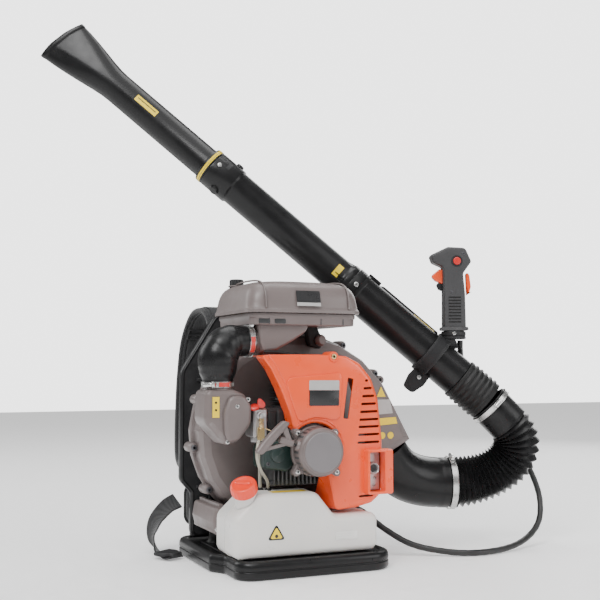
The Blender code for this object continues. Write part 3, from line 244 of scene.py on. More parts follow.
def mesh_fabric(name, colour):
    """Spacer-mesh cloth over foam: a grid of tiny holes with a soft sheen."""
    g = Graph(name, colour, 0.86)
    cells = g.node("ShaderNodeTexVoronoi", {"Vector": g.place}, Scale=520.0)
    cells.feature = "F1"
    hole = g.spread(cells.outputs["Distance"], 0.15, 0.55, 0.0, 1.0)
    # The colour follows the relief: painted shade darkens the low hole borders and a painted highlight
    # lightens the raised cells.
    g.colour(g.blend(hole, tinted(colour, 1.9), tinted(colour, 0.45)))
    g.rough(g.spread(g.noise(40.0), 0.3, 0.7, 0.78, 0.95))
    g.bump(g.maths("SUBTRACT", 1.0, hole), 0.55, 0.0005)
    g.bump(g.noise(70.0, 3.0), 0.15, 0.002)
    g.shader.inputs["Sheen Weight"].default_value = 0.35
    g.shader.inputs["Sheen Roughness"].default_value = 0.45
    return g.material


def blown_tank(name, colour):
    """Milky blow-moulded polyethylene that light sinks into."""
    g = Graph(name, colour, 0.34)
    drift = g.spread(g.noise(9.0, 3.0), 0.3, 0.7, 0.0, 1.0)
    g.colour(g.blend(drift, tinted(colour, 0.93), tinted(colour, 1.04)))
    g.rough(g.spread(g.noise(30.0, 4.0), 0.3, 0.7, 0.26, 0.46))
    g.bump(g.noise(300.0, 3.0), 0.1, 0.0004)
    g.bump(g.noise(12.0, 2.0), 0.12, 0.003)
    g.shader.inputs["Subsurface Weight"].default_value = 0.35
    g.shader.inputs["Subsurface Radius"].default_value = (0.02, 0.018, 0.015)
    g.shader.inputs["Subsurface Scale"].default_value = 0.5
    return g.material


def clear_hose(name, colour):
    """Translucent fuel hose."""
    g = Graph(name, colour, 0.2)
    g.colour(g.blend(g.spread(g.noise(45.0), 0.3, 0.7, 0.0, 1.0), tinted(colour, 0.85),
        tinted(colour, 1.1)))
    g.shader.inputs["Transmission Weight"].default_value = 0.45
    g.bump(g.noise(200.0), 0.08, 0.0004)
    return g.material


def printed(name, colour, rough=0.35):
    """Vinyl label with a faint orange-peel surface."""
    g = Graph(name, colour, rough)
    g.colour(g.blend(g.spread(g.noise(35.0), 0.3, 0.7, 0.0, 1.0), tinted(colour, 0.94),
        tinted(colour, 1.05)))
    g.rough(g.spread(g.noise(90.0), 0.3, 0.7, rough - 0.06, rough + 0.08))
    g.bump(g.noise(450.0), 0.05, 0.0002)
    return g.material


LOOKS = {"orange": moulded("orange_shell", (0.9, 0.082, 0.01), 0.3, 0.1, 0.05, 0.3, 0.12),
    "cap_orange": moulded("orange_cap_plastic", (0.9, 0.046, 0.01), 0.34, 0.1, 0.05, 0.2, 0.12),
    "grey": moulded("warm_grey_plastic", (0.15, 0.122, 0.117), 0.4, 0.3, 0.07, 0.1, 0.22, 1100.0),
    "starter": moulded("starter_grey_plastic", (0.165, 0.152, 0.157), 0.36, 0.22, 0.06, 0.15, 0.25),
    "gloss": moulded("gloss_black_plastic", (0.0075, 0.0075, 0.008), 0.31, 0.03, 0.15, 0.06, 0.05),
    "matte": moulded("matte_black_plastic", (0.016, 0.016, 0.017), 0.52, 0.3, 0.15, 0.0, 0.1),
    # engine_black is the real dark coat of the fins, and also the painted shade on the dark sheets for
    # vents, gaps, recesses and the muffler bore.
    "engine_black": moulded("engine_black_coat_and_painted_shade", (0.02, 0.021, 0.022), 0.45, 0.35, 0.2, 0.0, 0.2),
    "green_black": moulded("dark_green_housing", (0.012, 0.03, 0.026), 0.42, 0.2, 0.2, 0.0, 0.15),
    "grip": moulded("grip_grey_plastic", (0.042, 0.042, 0.044), 0.46, 0.45, 0.1, 0.0, 0.15, 700.0),
    "red": moulded("red_plastic", (0.62, 0.018, 0.012), 0.32, 0.08, 0.06, 0.2, 0.15),
    "rubber": rubbery("black_rubber", (0.012, 0.012, 0.012), 0.42), "hose": rubbery("hose_rubber",
    (0.009, 0.009, 0.0095), 0.25), "cable": rubbery("cable_sheath", (0.014, 0.014, 0.014), 0.38),
    "steel": metal("strip_steel", (0.66, 0.66, 0.65), 0.24), "gold": metal("zinc_yellow_steel",
    (0.78, 0.6, 0.3), 0.3), "alloy": metal("cast_alloy", (0.5, 0.5, 0.5), 0.4, True),
    "dark_alloy": metal("dark_cast_alloy", (0.14, 0.14, 0.15), 0.46, True),
    "tank": blown_tank("milky_tank", (0.74, 0.72, 0.69)), "fuel": clear_hose("clear_fuel_hose",
    (0.66, 0.63, 0.52)), "mesh": mesh_fabric("spacer_mesh", (0.019, 0.019, 0.02)),
    "strap": woven("strap_cloth", (0.016, 0.016, 0.017), 260.0), "webbing": woven("belt_webbing",
    (0.013, 0.013, 0.014), 190.0, 0.74), "foam": mesh_fabric("filter_foam", (0.5, 0.42, 0.26)),
    "white": printed("glazed_ceramic", (0.8, 0.79, 0.75), 0.22), "label_black": printed("label_black",
    (0.014, 0.014, 0.015), 0.3), "label_grey": printed("label_grey", (0.42, 0.41, 0.4), 0.32),
    "label_yellow": printed("label_yellow", (0.86, 0.62, 0.015), 0.34),
    "label_white": printed("label_white", (0.78, 0.77, 0.74), 0.36), "floor": printed("studio_floor",
    (0.9, 0.9, 0.9), 0.55),}


SLOTS = {"steel": "steel", "gold": "steel", "cable": "cable_black", "hose": "black_rubber",
    "rubber": "black_rubber", "gloss": "gloss_black", "matte": "matte_black",
    "label_black": "matte_black", "engine_black": "matte_black", "green_black": "matte_black",
    "label_yellow": "tank_white", "label_white": "tank_white", "tank": "tank_white",
    "grip": "grip_grey", "red": "red_plastic", "orange": "orange_plastic", "cap_orange": "orange_cap",
    "grey": "grey_housing", "label_grey": "starter_grey", "starter": "starter_grey",
    "alloy": "cast_alloy", "dark_alloy": "cast_alloy", "strap": "webbing", "webbing": "webbing",
    "fuel": "fuel_line", "mesh": "harness_fabric"}


def set_socket(look, socket, value):
    """Constant on the look's surface shader."""
    for node in LOOKS[look].node_tree.nodes:
        if node.type == "BSDF_PRINCIPLED":
            node.inputs[socket].default_value = value


for dark in ("gloss", "matte", "rubber", "hose"):
    set_socket(dark, "Specular IOR Level", DARK_SPECULAR)
set_socket("floor", "Emission Color", (*WHITE, 1.0))
set_socket("floor", "Emission Strength", FLOOR_GLOW)


# Shapes

def matrix_along(axis, origin, across=None):
    """Local Z along axis, local X near across."""
    z = Vector(axis).normalized()
    hint = Vector(across) if across is not None else vec(1, 0, 0)
    if abs(z.dot(hint.normalized())) > 0.95:
        hint = vec(0, 0, 1)
    x = (hint - z * hint.dot(z)).normalized()
    turn = Matrix((x, z.cross(x), z)).transposed().to_4x4()
    return Matrix.Translation(Vector(origin)) @ turn


def rectangle(left, low, right, high, fillet):
    return [(left, low, fillet), (right, low, fillet), (right, high, fillet), (left, high, fillet)]


def filleted(corners, steps=5):
    """An outline whose (x, y, radius) corners are rounded."""
    outline = []
    count = len(corners)
    for i, (x, y, radius) in enumerate(corners):
        here = vec(x, y)
        before = Vector(corners[i - 1][:2]) - here
        after = Vector(corners[(i + 1) % count][:2]) - here
        if radius <= 0:
            outline.append(here)
            continue
        before.normalize()
        after.normalize()
        half = before.angle(after) / 2
        reach = radius / tan(half)
        centre = here + (before + after).normalized() * (radius / sin(half))
        start = here + before * reach - centre
        sweep = start.angle_signed(here + after * reach - centre)
        for j in range(steps + 1):
            turn = -sweep * j / steps
            c, s = cos(turn), sin(turn)
            outline.append(centre + vec(start.x * c - start.y * s, start.x * s + start.y * c))
    return outline


def inset(outline, distance):
    """The outline moved inwards, point for point, by one distance or one for each point."""
    outline = [Vector(p) for p in outline]
    count = len(outline)
    area = sum(outline[i - 1].cross(outline[i]) for i in range(count))
    side = 1.0 if area > 0 else -1.0
    moved = []
    for i in range(count):
        first = (outline[i] - outline[i - 1]).normalized()
        second = (outline[(i + 1) % count] - outline[i]).normalized()
        n1 = vec(-first.y, first.x) * side
        n2 = vec(-second.y, second.x) * side
        middle = (n1 + n2).normalized()
        step = distance[i] if isinstance(distance, list) else distance
        moved.append(outline[i] + middle * (step / max(0.4, middle.dot(n1))))
    return moved


LIFTS = {"XY": lambda p, h: vec(p[0], p[1], h), "XZ": lambda p, h: vec(p[0], h, p[1]), "YZ": lambda p,
    h: vec(h, p[0], p[1]), "GRIP": lambda p, h: ACROSS * (p[0] + GRIP_SHIFT) + DEEP * (GRIP_DEPTH + h)
    + UP * p[1],}


def smooth_line(stops, spacing):
    """Evenly spaced points on a smooth curve through the stops."""
    stops = [Vector(s) for s in stops]
    ends = [stops[0] * 2 - stops[1]] + stops + [stops[-1] * 2 - stops[-2]]
    fine = []
    for i in range(len(stops) - 1):
        a, b, c, d = ends[i:i + 4]
        for j in range(24):
            t = j / 24
            fine.append(0.5 * ((2 * b) + (c - a) * t + (2 * a - 5 * b + 4 * c - d) * t * t
                + (3 * b - a - 3 * c + d) * t ** 3))
    fine.append(stops[-1])
    total = sum((fine[i + 1] - fine[i]).length for i in range(len(fine) - 1))
    count = max(2, round(total / spacing))
    points = [fine[0]]
    walked = 0.0
    for i in range(len(fine) - 1):
        step = (fine[i + 1] - fine[i]).length
        while len(points) < count and walked + step >= total * len(points) / count:
            share = (total * len(points) / count - walked) / step
            points.append(fine[i].lerp(fine[i + 1], share))
        walked += step
    points.append(fine[-1])
    return points


def bezier(p0, p1, p2, p3, steps):
    points = []
    for i in range(steps + 1):
        t = i / steps
        u = 1 - t
        points.append(p0 * u ** 3 + p1 * 3 * u * u * t + p2 * 3 * u * t * t + p3 * t ** 3)
    return points


def tangents(points):
    found = [(points[1] - points[0]).normalized()]
    for i in range(1, len(points) - 1):
        found.append((points[i + 1] - points[i - 1]).normalized())
    found.append((points[-1] - points[-2]).normalized())
    return found


def line_length(points):
    return sum((b - a).length for a, b in zip(points, points[1:]))


class Shape:
    """Shells gathered into one mesh."""

    def __init__(self):
        self.verts = []
        self.faces = []

    def put(self, verts, faces):
        start = len(self.verts)
        self.verts += [Vector(v) for v in verts]
        self.faces += [tuple(i + start for i in face) for face in faces]
        return self

    def skin(self, rings, loop=False, caps=True):
        """Rings of equal length joined in turn."""
        count = len(rings[0])
        faces = []
        spans = len(rings) if loop else len(rings) - 1
        for i in range(spans):
            low = i * count
            high = ((i + 1) % len(rings)) * count
            for j in range(count):
                k = (j + 1) % count
                faces.append((low + j, low + k, high + k, high + j))
        if caps and not loop:
            faces.append(tuple(reversed(range(count))))
            faces.append(tuple(range((len(rings) - 1) * count, len(rings) * count)))
        return self.put([v for ring in rings for v in ring], faces)

    def lathe(self, profile, axis, origin, steps=48, across=None, wave=None):
        """(radius, height) pairs turned round an axis: a line that starts and ends on the axis, or a
        closed outline clear of it. wave(turn) scales the radius."""
        place = matrix_along(axis, origin, across)
        rings = []
        for radius, height in profile:
            ring = []
            for j in range(steps):
                turn = 2 * pi * j / steps
                r = max(radius, 2e-4) * (wave(turn, radius) if wave else 1.0)
                ring.append(place @ vec(r * cos(turn), r * sin(turn), height))
            rings.append(ring)
        return self.skin(rings, loop=profile[0][0] > 0.0)

    def prism(self, outline, low, high, plane="XY"):
        lift = LIFTS[plane]
        return self.skin([[lift(p, low) for p in outline], [lift(p, high) for p in outline]])

    def puffed(self, outline, low, high, radius, plane="XY", arcs=4, both=True):
        """A prism with rounded rims, drawn in rings."""
        lift = LIFTS[plane]
        way = 1.0 if high > low else -1.0
        rings = []
        for i in range(arcs + 1):
            turn = pi / 2 * i / arcs
            shrunk = inset(outline, radius * (1 - sin(turn)))
            rings.append([lift(p, low + way * radius * (1 - cos(turn))) for p in shrunk])
        if both:
            for i in range(arcs, -1, -1):
                turn = pi / 2 * i / arcs
                shrunk = inset(outline, radius * (1 - sin(turn)))
                rings.append([lift(p, high - way * radius * (1 - cos(turn))) for p in shrunk])
        else:
            rings.append([lift(p, high) for p in outline])
        return self.skin(rings)

    def box(self, low, high):
        outline = [(low[0], low[1]), (high[0], low[1]), (high[0], high[1]), (low[0], high[1])]
        return self.prism(outline, low[2], high[2])

    def tube(self, points, radii, steps=16, across=None):
        """A round bar along points; radii is one number or one for each point."""
        if isinstance(radii, (int, float)):
            radii = [radii] * len(points)
        hint = Vector(across) if across is not None else UP
        rings = []
        for point, way, radius in zip(points, tangents(points), radii):
            if across is None:
                hint = hint - way * hint.dot(way)
                hint = hint if hint.length > 0.1 else vec(1, 0, 0)
            x = (hint - way * hint.dot(way)).normalized()
            y = way.cross(x)
            rings.append([point + x * (radius * cos(2 * pi * j / steps)) + y
                * (radius * sin(2 * pi * j / steps)) for j in range(steps)])
            hint = x
        return self.skin(rings)

    def make(self, name, look, body=MACHINE, smooth=38, bevel=0.0, segments=3, replaces=(), slot="",
            subdivide=0):
        """The slot argument is not used; an empty slot would stand for the look's usual one in SLOTS."""
        mesh = bpy.data.meshes.new(name)
        mesh.from_pydata([tuple(v) for v in self.verts], [], self.faces)
        mesh.validate()
        shape = bmesh.new()
        shape.from_mesh(mesh)
        bmesh.ops.remove_doubles(shape, verts=shape.verts, dist=1e-6)
        bmesh.ops.recalc_face_normals(shape, faces=shape.faces)
        shape.to_mesh(mesh)
        shape.free()
        mesh.shade_smooth()
        mesh.set_sharp_from_angle(angle=radians(smooth))
        obj = bpy.data.objects.new(name, mesh)
        bpy.context.scene.collection.objects.link(obj)
        mesh.materials.append(LOOKS[look])
        if bevel:
            edge = obj.modifiers.new("edges", "BEVEL")
            edge.width = bevel
            edge.segments = segments
            edge.limit_method = "ANGLE"
            edge.angle_limit = SMOOTH_ANGLE
            edge.harden_normals = True
        if subdivide:
            fine = obj.modifiers.new("fine", "SUBSURF")
            fine.levels = subdivide
            fine.render_levels = subdivide
        if body:
            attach(obj, body)
        if replaces:
            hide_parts(*replaces)
        slot = SLOTS.get(look) if slot == "" else slot
        return obj


def on_tube(distance, top=0.0, deep=0.0):
    """A point near the blower tube: along it, towards its upper side, and away from the front."""
    return TUBE_ORIGIN + TUBE_DIR * distance + TUBE_TOP * top + DEEP * deep


def cuff_point(distance):
    return TUBE_ORIGIN - TUBE_DIR * 0.139 - CUFF_DIR * distance


def on_grip(across, up, deep=0.0):
    return LIFTS["GRIP"]((across, up), deep)


def screw_head(shape, seat, axis, radius, rise=None):
    """A pan head with a hexagon socket."""
    rise = rise or radius * 0.55
    shape.lathe([(0.0, -radius * 0.3), (radius, -radius * 0.3), (radius, rise * 0.55),
        (radius * 0.86, rise * 0.9), (radius * 0.66, rise), (radius * 0.52, rise)], axis, seat, 20)
    socket = radius * 0.5
    place = matrix_along(axis, seat)
    rings = []
    for r, h in ((radius * 0.52, rise), (socket, rise * 0.98), (socket * 0.96, rise * 0.35),
            (0.0001, rise * 0.3)):
        rings.append([place @ vec(r * cos(tau * j / 6), r * sin(tau * j / 6), h) for j in range(6)])
    shape.skin(rings, caps=True)


def screws(name, body, seats, look="steel", slot="steel"):
    """Several screw heads as one piece; seats holds (point, axis, radius)."""
    shape = Shape()
    for seat, axis, radius in seats:
        screw_head(shape, Vector(seat), Vector(axis), radius)
    return shape.make(name, look, body, 35, slot=slot)


def worm_clamp(name, body, centre, axis, radius, width, screw_way, red=None, replaces=()):
    """Band clamp with rolled edges, perforations, a worm housing and its screw."""
    axis = Vector(axis).normalized()
    thick = 0.0009
    band = Shape()
    half = width / 2
    band.lathe([(radius, -half), (radius + thick * 1.9, -half), (radius + thick * 1.9, -half + 0.0008),
        (radius + thick, -half + 0.0012), (radius + thick, half - 0.0012),
        (radius + thick * 1.9, half - 0.0008), (radius + thick * 1.9, half), (radius, half)], axis,
        centre, 72)
    way = (Vector(screw_way) - axis * Vector(screw_way).dot(axis)).normalized()
    side = axis.cross(way)
    seat = Vector(centre) + way * (radius + 0.004)
    band.lathe([(0.0, -0.0075), (0.0042, -0.0075), (0.0046, -0.006), (0.0046, 0.006), (0.0042, 0.0075),
        (0.0, 0.0075)], side, seat, 20)
    head = seat + side * 0.0075
    band.lathe([(0.0, 0.0), (0.003, 0.0), (0.003, 0.0012), (0.004, 0.0014), (0.004, 0.005),
        (0.0032, 0.0058), (0.0, 0.0058)], side, head, 6)
    place = matrix_along(axis, centre, way)
    for j in range(4, 40):
        turn = tau * j / 44
        spot = place @ vec((radius + thick * 1.02) * cos(turn), (radius + thick * 1.02) * sin(turn), 0)
        out = (spot - Vector(centre)).normalized()
        tangent = axis.cross(out)
        slash = (axis + tangent * 0.35).normalized()
        cross = slash.cross(out)
        a, b = slash * (width * 0.26), cross * 0.0006
        band.skin([[spot + a + b, spot + a - b, spot - a - b, spot - a + b], [spot + a + b + out
            * 0.0002, spot + a - b + out * 0.0002, spot - a - b + out * 0.0002, spot - a + b + out
            * 0.0002]])
    band.make(name, "steel", body, 35, replaces=replaces)
    if red:
        start, end = red
        arc = Shape()
        rings = []
        for j in range(9):
            turn = radians(start + (end - start) * j / 8)
            out = (way * cos(turn) + side * sin(turn))
            low = Vector(centre) + out * (radius + thick * 1.1)
            rings.append([low - axis * half * 0.75, low + axis * half * 0.75, low + axis * half * 0.75
                + out * 0.0006, low - axis * half * 0.75 + out * 0.0006])
        arc.skin(rings)
        arc.make(name + "_mark", "red", body, 35)


def sticker(name, body, corners, look, slot, lift=0.0, rows=1):
    """A thin label whose corners are given in order; rows above one bend it round a tube."""
    a, b, c, d = [Vector(p) for p in corners]
    normal = (b - a).cross(d - a).normalized()
    rings = []
    for i in range(rows + 1):
        t = i / rows
        low, high = a.lerp(d, t), b.lerp(c, t)
        rings.append([low, high, high + normal * 0.0003, low + normal * 0.0003])
    shape = Shape()
    shape.skin([[p + normal * lift for p in ring] for ring in rings])
    return shape.make(name, look, body, 35, slot=slot)


def tube_sticker(name, body, start, end, radius, low, high, look, slot, steps=10):
    """A label wrapped on the blower tube: low and high are turns in degrees from its upper side
    towards the front."""
    shape = Shape()
    rings = []
    for i in range(steps + 1):
        turn = radians(low + (high - low) * i / steps)
        out = TUBE_TOP * cos(turn) - DEEP * sin(turn)
        rings.append([on_tube(start) + out * radius, on_tube(end) + out * radius, on_tube(end) + out
            * (radius + 0.0003), on_tube(start) + out * (radius + 0.0003)])
    shape.skin(rings)
    return shape.make(name, look, body, 35, slot=slot)


# Camera, light and floor

def make_camera():
    data = bpy.data.cameras.new("camera")
    data.lens = LENS
    data.sensor_width = SENSOR
    camera = bpy.data.objects.new("camera", data)
    camera.location = CAMERA_AT
    camera.rotation_euler = [radians(turn) for turn in CAMERA_TURN]
    bpy.context.scene.collection.objects.link(camera)
    bpy.context.scene.camera = camera


def softbox(name, place, size, power):
    data = bpy.data.lights.new(name, "AREA")
    data.shape = "RECTANGLE"
    data.size, data.size_y = size
    data.energy = power
    lamp = bpy.data.objects.new(name, data)
    lamp.location = place
    lamp.rotation_euler = (Vector(LIT_POINT) - Vector(place)).to_track_quat("-Z", "Y").to_euler()
    bpy.context.scene.collection.objects.link(lamp)


def make_studio():
    corner = (FLOOR_HALF, FLOOR_HALF, -FLOOR_GAP)
    Shape().box((-FLOOR_HALF, -FLOOR_HALF, -FLOOR_THICK),
        corner).make("studio_floor", "floor", None)
    for name, (place, size, power) in SOFTBOXES.items():
        softbox(name, place, size, power)
    data = bpy.data.lights.new("even", "SUN")
    data.energy = SUN_STRENGTH
    data.angle = radians(SUN_SPREAD)
    lamp = bpy.data.objects.new("even", data)
    lamp.rotation_euler = [radians(turn) for turn in SUN_TURN]
    bpy.context.scene.collection.objects.link(lamp)
    world = bpy.data.worlds.new("studio")
    world.use_nodes = True
    tree = world.node_tree
    soft = tree.nodes["Background"]
    seen = tree.nodes.new("ShaderNodeBackground")
    for shade, strength in ((soft, SKY_LIGHT), (seen, SKY_SEEN)):
        shade.inputs["Color"].default_value = (*WHITE, 1.0)
        shade.inputs["Strength"].default_value = strength
    pick = tree.nodes.new("ShaderNodeMixShader")
    tree.links.new(tree.nodes.new("ShaderNodeLightPath").outputs["Is Camera Ray"], pick.inputs["Fac"])
    tree.links.new(soft.outputs["Background"], pick.inputs[1])
    tree.links.new(seen.outputs["Background"], pick.inputs[2])
    tree.links.new(pick.outputs["Shader"], tree.nodes["World Output"].inputs["Surface"])
    bpy.context.scene.world = world


# Throttle cable

CABLE_ROUTE = [(0.3714, 0.0065, 0.3835), (0.3728, 0.009, 0.371), (0.385, 0.024, 0.347),
    (0.406, 0.035, 0.319), (0.431, 0.036, 0.285), (0.462, 0.027, 0.233), (0.489, 0.011, 0.19),
    (0.506, -0.003, 0.156), (0.519, -0.017, 0.119), (0.521, -0.032, 0.081), (0.506, -0.048, 0.044),
    (0.468, -0.065, 0.019), (0.408, -0.088, 0.0075), (0.336, -0.1, 0.0058), (0.283, -0.08, 0.008),
    (0.232, -0.048, 0.019), (0.193, -0.019, 0.044), (0.163, 0.003, 0.072), (0.148, 0.0094, 0.0795),
    (0.134, 0.01, 0.08)]
CABLE_R = 0.0054


def make_cable():
    route = smooth_line(CABLE_ROUTE, 0.006)
    radii = []
    for i in range(len(route)):
        radii.append(CABLE_R * (1.0 + 0.035 * sin(i * 1.9)))
    cable = Shape().tube(route, radii, 16).make("throttle_cable_sheath", "cable", None,
        replaces=["throttle_cable"])
    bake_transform(cable)


# Hose, sleeve, tubes and nozzle

def hose_line():
    ahead = vec(0.952, -0.305, 0.0).normalized()
    first = HOSE_START + ahead * 0.001
    last = cuff_point(0.056)
    return bezier(first, first + ahead * 0.112, last - CUFF_DIR * 0.062, last, 400)


def make_hose():
    """Corrugated hose with sharp ribs and a plain cuff."""
    line = hose_line() + [cuff_point(0.056 - 0.055 * i / 40) for i in range(1, 41)]
    total = line_length(line)
    ribbed = total - 0.058
    ribs = 21
    points = []
    radii = []
    walked = 0.0
    next_at = 0.0
    step = ribbed / ribs / 8
    for i in range(len(line) - 1):
        length = (line[i + 1] - line[i]).length
        while next_at <= walked + length and next_at < total:
            point = line[i].lerp(line[i + 1], (next_at - walked) / max(length, 1e-9))
            if next_at < ribbed:
                phase = (next_at / ribbed * ribs) % 1.0
                peak = 1.0 - abs(phase - 0.5) * 2.0
                swell = 0.048 + (0.0415 - 0.048) * next_at / ribbed
                radius = swell - 0.0068 * (1.0 - peak) ** 0.9
                if next_at < 0.012:
                    radius = min(radius, 0.0465)
            else:
                radius = 0.0393 - (0.0006 if (next_at - ribbed) > 0.003 else 0.003 * 0)
            points.append(point)
            radii.append(radius)
            next_at += step
        walked += length
    ways = tangents(points)
    rings = []
    hint = DEEP
    for point, way, radius in zip(points, ways, radii):
        x = (hint - way * hint.dot(way)).normalized()
        y = way.cross(x)
        rings.append([point + x * (radius * cos(tau * j / 56)) + y * (radius * sin(tau * j / 56))
            for j in range(56)])
    bore = []
    for i in range(len(points) - 1, -1, -6):
        way = ways[i]
        x = (hint - way * hint.dot(way)).normalized()
        y = way.cross(x)
        bore.append([points[i] + x * (0.035 * cos(tau * j / 56)) + y * (0.035 * sin(tau * j / 56))
            for j in range(56)])
    shape = Shape().skin(rings + bore, loop=True)
    hose = shape.make("corrugated_hose", "hose", None, 50, replaces=["flex_hose"])
    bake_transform(hose)


def make_sleeve():
    """Ribbed rubber sleeve and the worm clamp on the cuff."""
    low, high, ribs = -0.135, -0.0684, 5
    profile = [(0.0352, low), (0.0392, low), (0.0398, low + 0.002)]
    pitch = (high - low - 0.014) / ribs
    for i in range(ribs):
        start = low + 0.005 + i * pitch
        profile += [(0.0386, start), (0.039, start + pitch * 0.18), (0.0412, start + pitch * 0.34),
            (0.0417, start + pitch * 0.5), (0.0412, start + pitch * 0.66),
            (0.039, start + pitch * 0.82)]
    profile += [(0.0386, high - 0.008), (0.0402, high - 0.0065), (0.0402, high - 0.001), (0.0392, high),
        (0.0352, high)]
    Shape().lathe(profile, TUBE_DIR, TUBE_ORIGIN, 64).make("sleeve_ribbed", "rubber", WAND, 50,
        replaces=["ribbed_sleeve"])
    middle = cuff_point(0.014) + CUFF_DIR * 0.0045
    worm_clamp("cuff_worm_clamp", WAND, middle, CUFF_DIR, 0.0402, 0.0092, TUBE_TOP * 0.2 - DEEP, None,
        ["cuff_clamp"])


def make_pipes():
    """First tube with its rail and bolt, and second tube with its bayonet cups."""
    inner = 0.035
    profile = [(0.0362, -0.068), (0.037, -0.0672), (0.037, 0.177), (0.0373, 0.1785), (0.0385, 0.18),
        (0.0385, 0.185), (0.0374, 0.1858), (0.0374, 0.188), (0.0385, 0.1888), (0.0385, 0.203),
        (0.038, 0.2044), (inner, 0.2044), (inner, -0.068)]
    Shape().lathe(profile, TUBE_DIR, TUBE_ORIGIN, 72).make("tube_first", "gloss", WAND, 35,
        replaces=["pipe_1"])
    rail = Shape()
    rings = []
    for i, s in enumerate((0.014, 0.018, 0.15, 0.156)):
        rise = 0.0372 if i in (0, 3) else 0.0402
        rings.append([on_tube(s, 0.0355, -0.006), on_tube(s, rise, -0.004), on_tube(s, rise, 0.004),
            on_tube(s, 0.0355, 0.006)])
    rail.skin(rings)
    rail.make("tube_rail", "gloss", WAND, 30, bevel=0.0008)
    tube_sticker("rail_line", WAND, 0.024, 0.074, 0.0373, 14.0, 19.0, "label_yellow", "tank_white", 3)
    tab = Shape().puffed([(0.158, -0.007), (0.186, -0.007), (0.186, 0.007), (0.158, 0.007)], 0.0, 0.006,
        0.002, "XY").make("tube_lug", "gloss", WAND, 30)
    place = Matrix((TUBE_DIR, DEEP, TUBE_TOP)).transposed().to_4x4()
    tab.data.transform(Matrix.Translation(TUBE_ORIGIN + TUBE_TOP * 0.0362) @ place)
    body2 = Shape()
    profile = [(0.034, 0.185), (0.034, 0.205), (0.0372, 0.2052), (0.0374, 0.206), (0.0374, 0.215),
        (0.0366, 0.2165), (0.034, 0.219), (0.033, 0.223), (0.033, 0.489), (0.0334, 0.4905),
        (0.0352, 0.4925), (0.0358, 0.494), (0.0358, 0.544), (0.0353, 0.5463), (0.0308, 0.5463),
        (0.0308, 0.185)]
    body2.lathe(profile, TUBE_DIR, TUBE_ORIGIN, 72)
    for k in range(3):
        turn = radians(-20 + 120 * k)
        out = TUBE_TOP * cos(turn) - DEEP * sin(turn)
        side = TUBE_DIR.cross(out)
        for offset in (-0.0045, 0.0045):
            foot = out * 0.0318 + side * offset
            rings = []
            for s, r in ((0.2185, 0.0052), (0.229, 0.003), (0.244, 0.0002)):
                rings.append([on_tube(s) + foot + out * r - side * 0.0009, on_tube(s) + foot + out * r
                    + side * 0.0009, on_tube(s) + foot - out * 0.002 + side * 0.0009, on_tube(s) + foot
                    - out * 0.002 - side * 0.0009])
            body2.skin(rings)
    body2.make("tube_second", "gloss", "pipe_2", 35, replaces=["pipe_2"])
    boss = Shape()
    for turn_deg, at, size in ((-2.0, 0.509, 0.0075), (148.0, 0.515, 0.0095)):
        turn = radians(turn_deg)
        out = TUBE_TOP * cos(turn) - DEEP * sin(turn)
        boss.lathe([(0.0, 0.03), (size, 0.03), (size, 0.0385), (size * 0.85, 0.04), (0.0, 0.0404)], out,
            on_tube(at), 28)
    boss.make("bayonet_bosses", "gloss", "pipe_2", 35)
    slot_shape = Shape()
    for a, b, low, high in ((0.516, 0.546, 38.0, 46.0), (0.516, 0.523, 46.0, 66.0)):
        rings = []
        for i in range(7):
            turn = radians(low + (high - low) * i / 6)
            out = TUBE_TOP * cos(turn) - DEEP * sin(turn)
            rings.append([on_tube(a) + out * 0.0356, on_tube(b) + out * 0.0356, on_tube(b) + out
                * 0.036, on_tube(a) + out * 0.036])
        slot_shape.skin(rings)
    slot_shape.make("bayonet_slot", "matte", "pipe_2", 35)
    screws("tube_bolts", WAND, [(on_tube(0.193, 0.0055, -0.0378), -DEEP + TUBE_TOP * 0.14, 0.0048)])
    tube_sticker("joint_label", "pipe_2", 0.23, 0.242, 0.0331, 62.0, 104.0, "label_yellow",
        "tank_white")


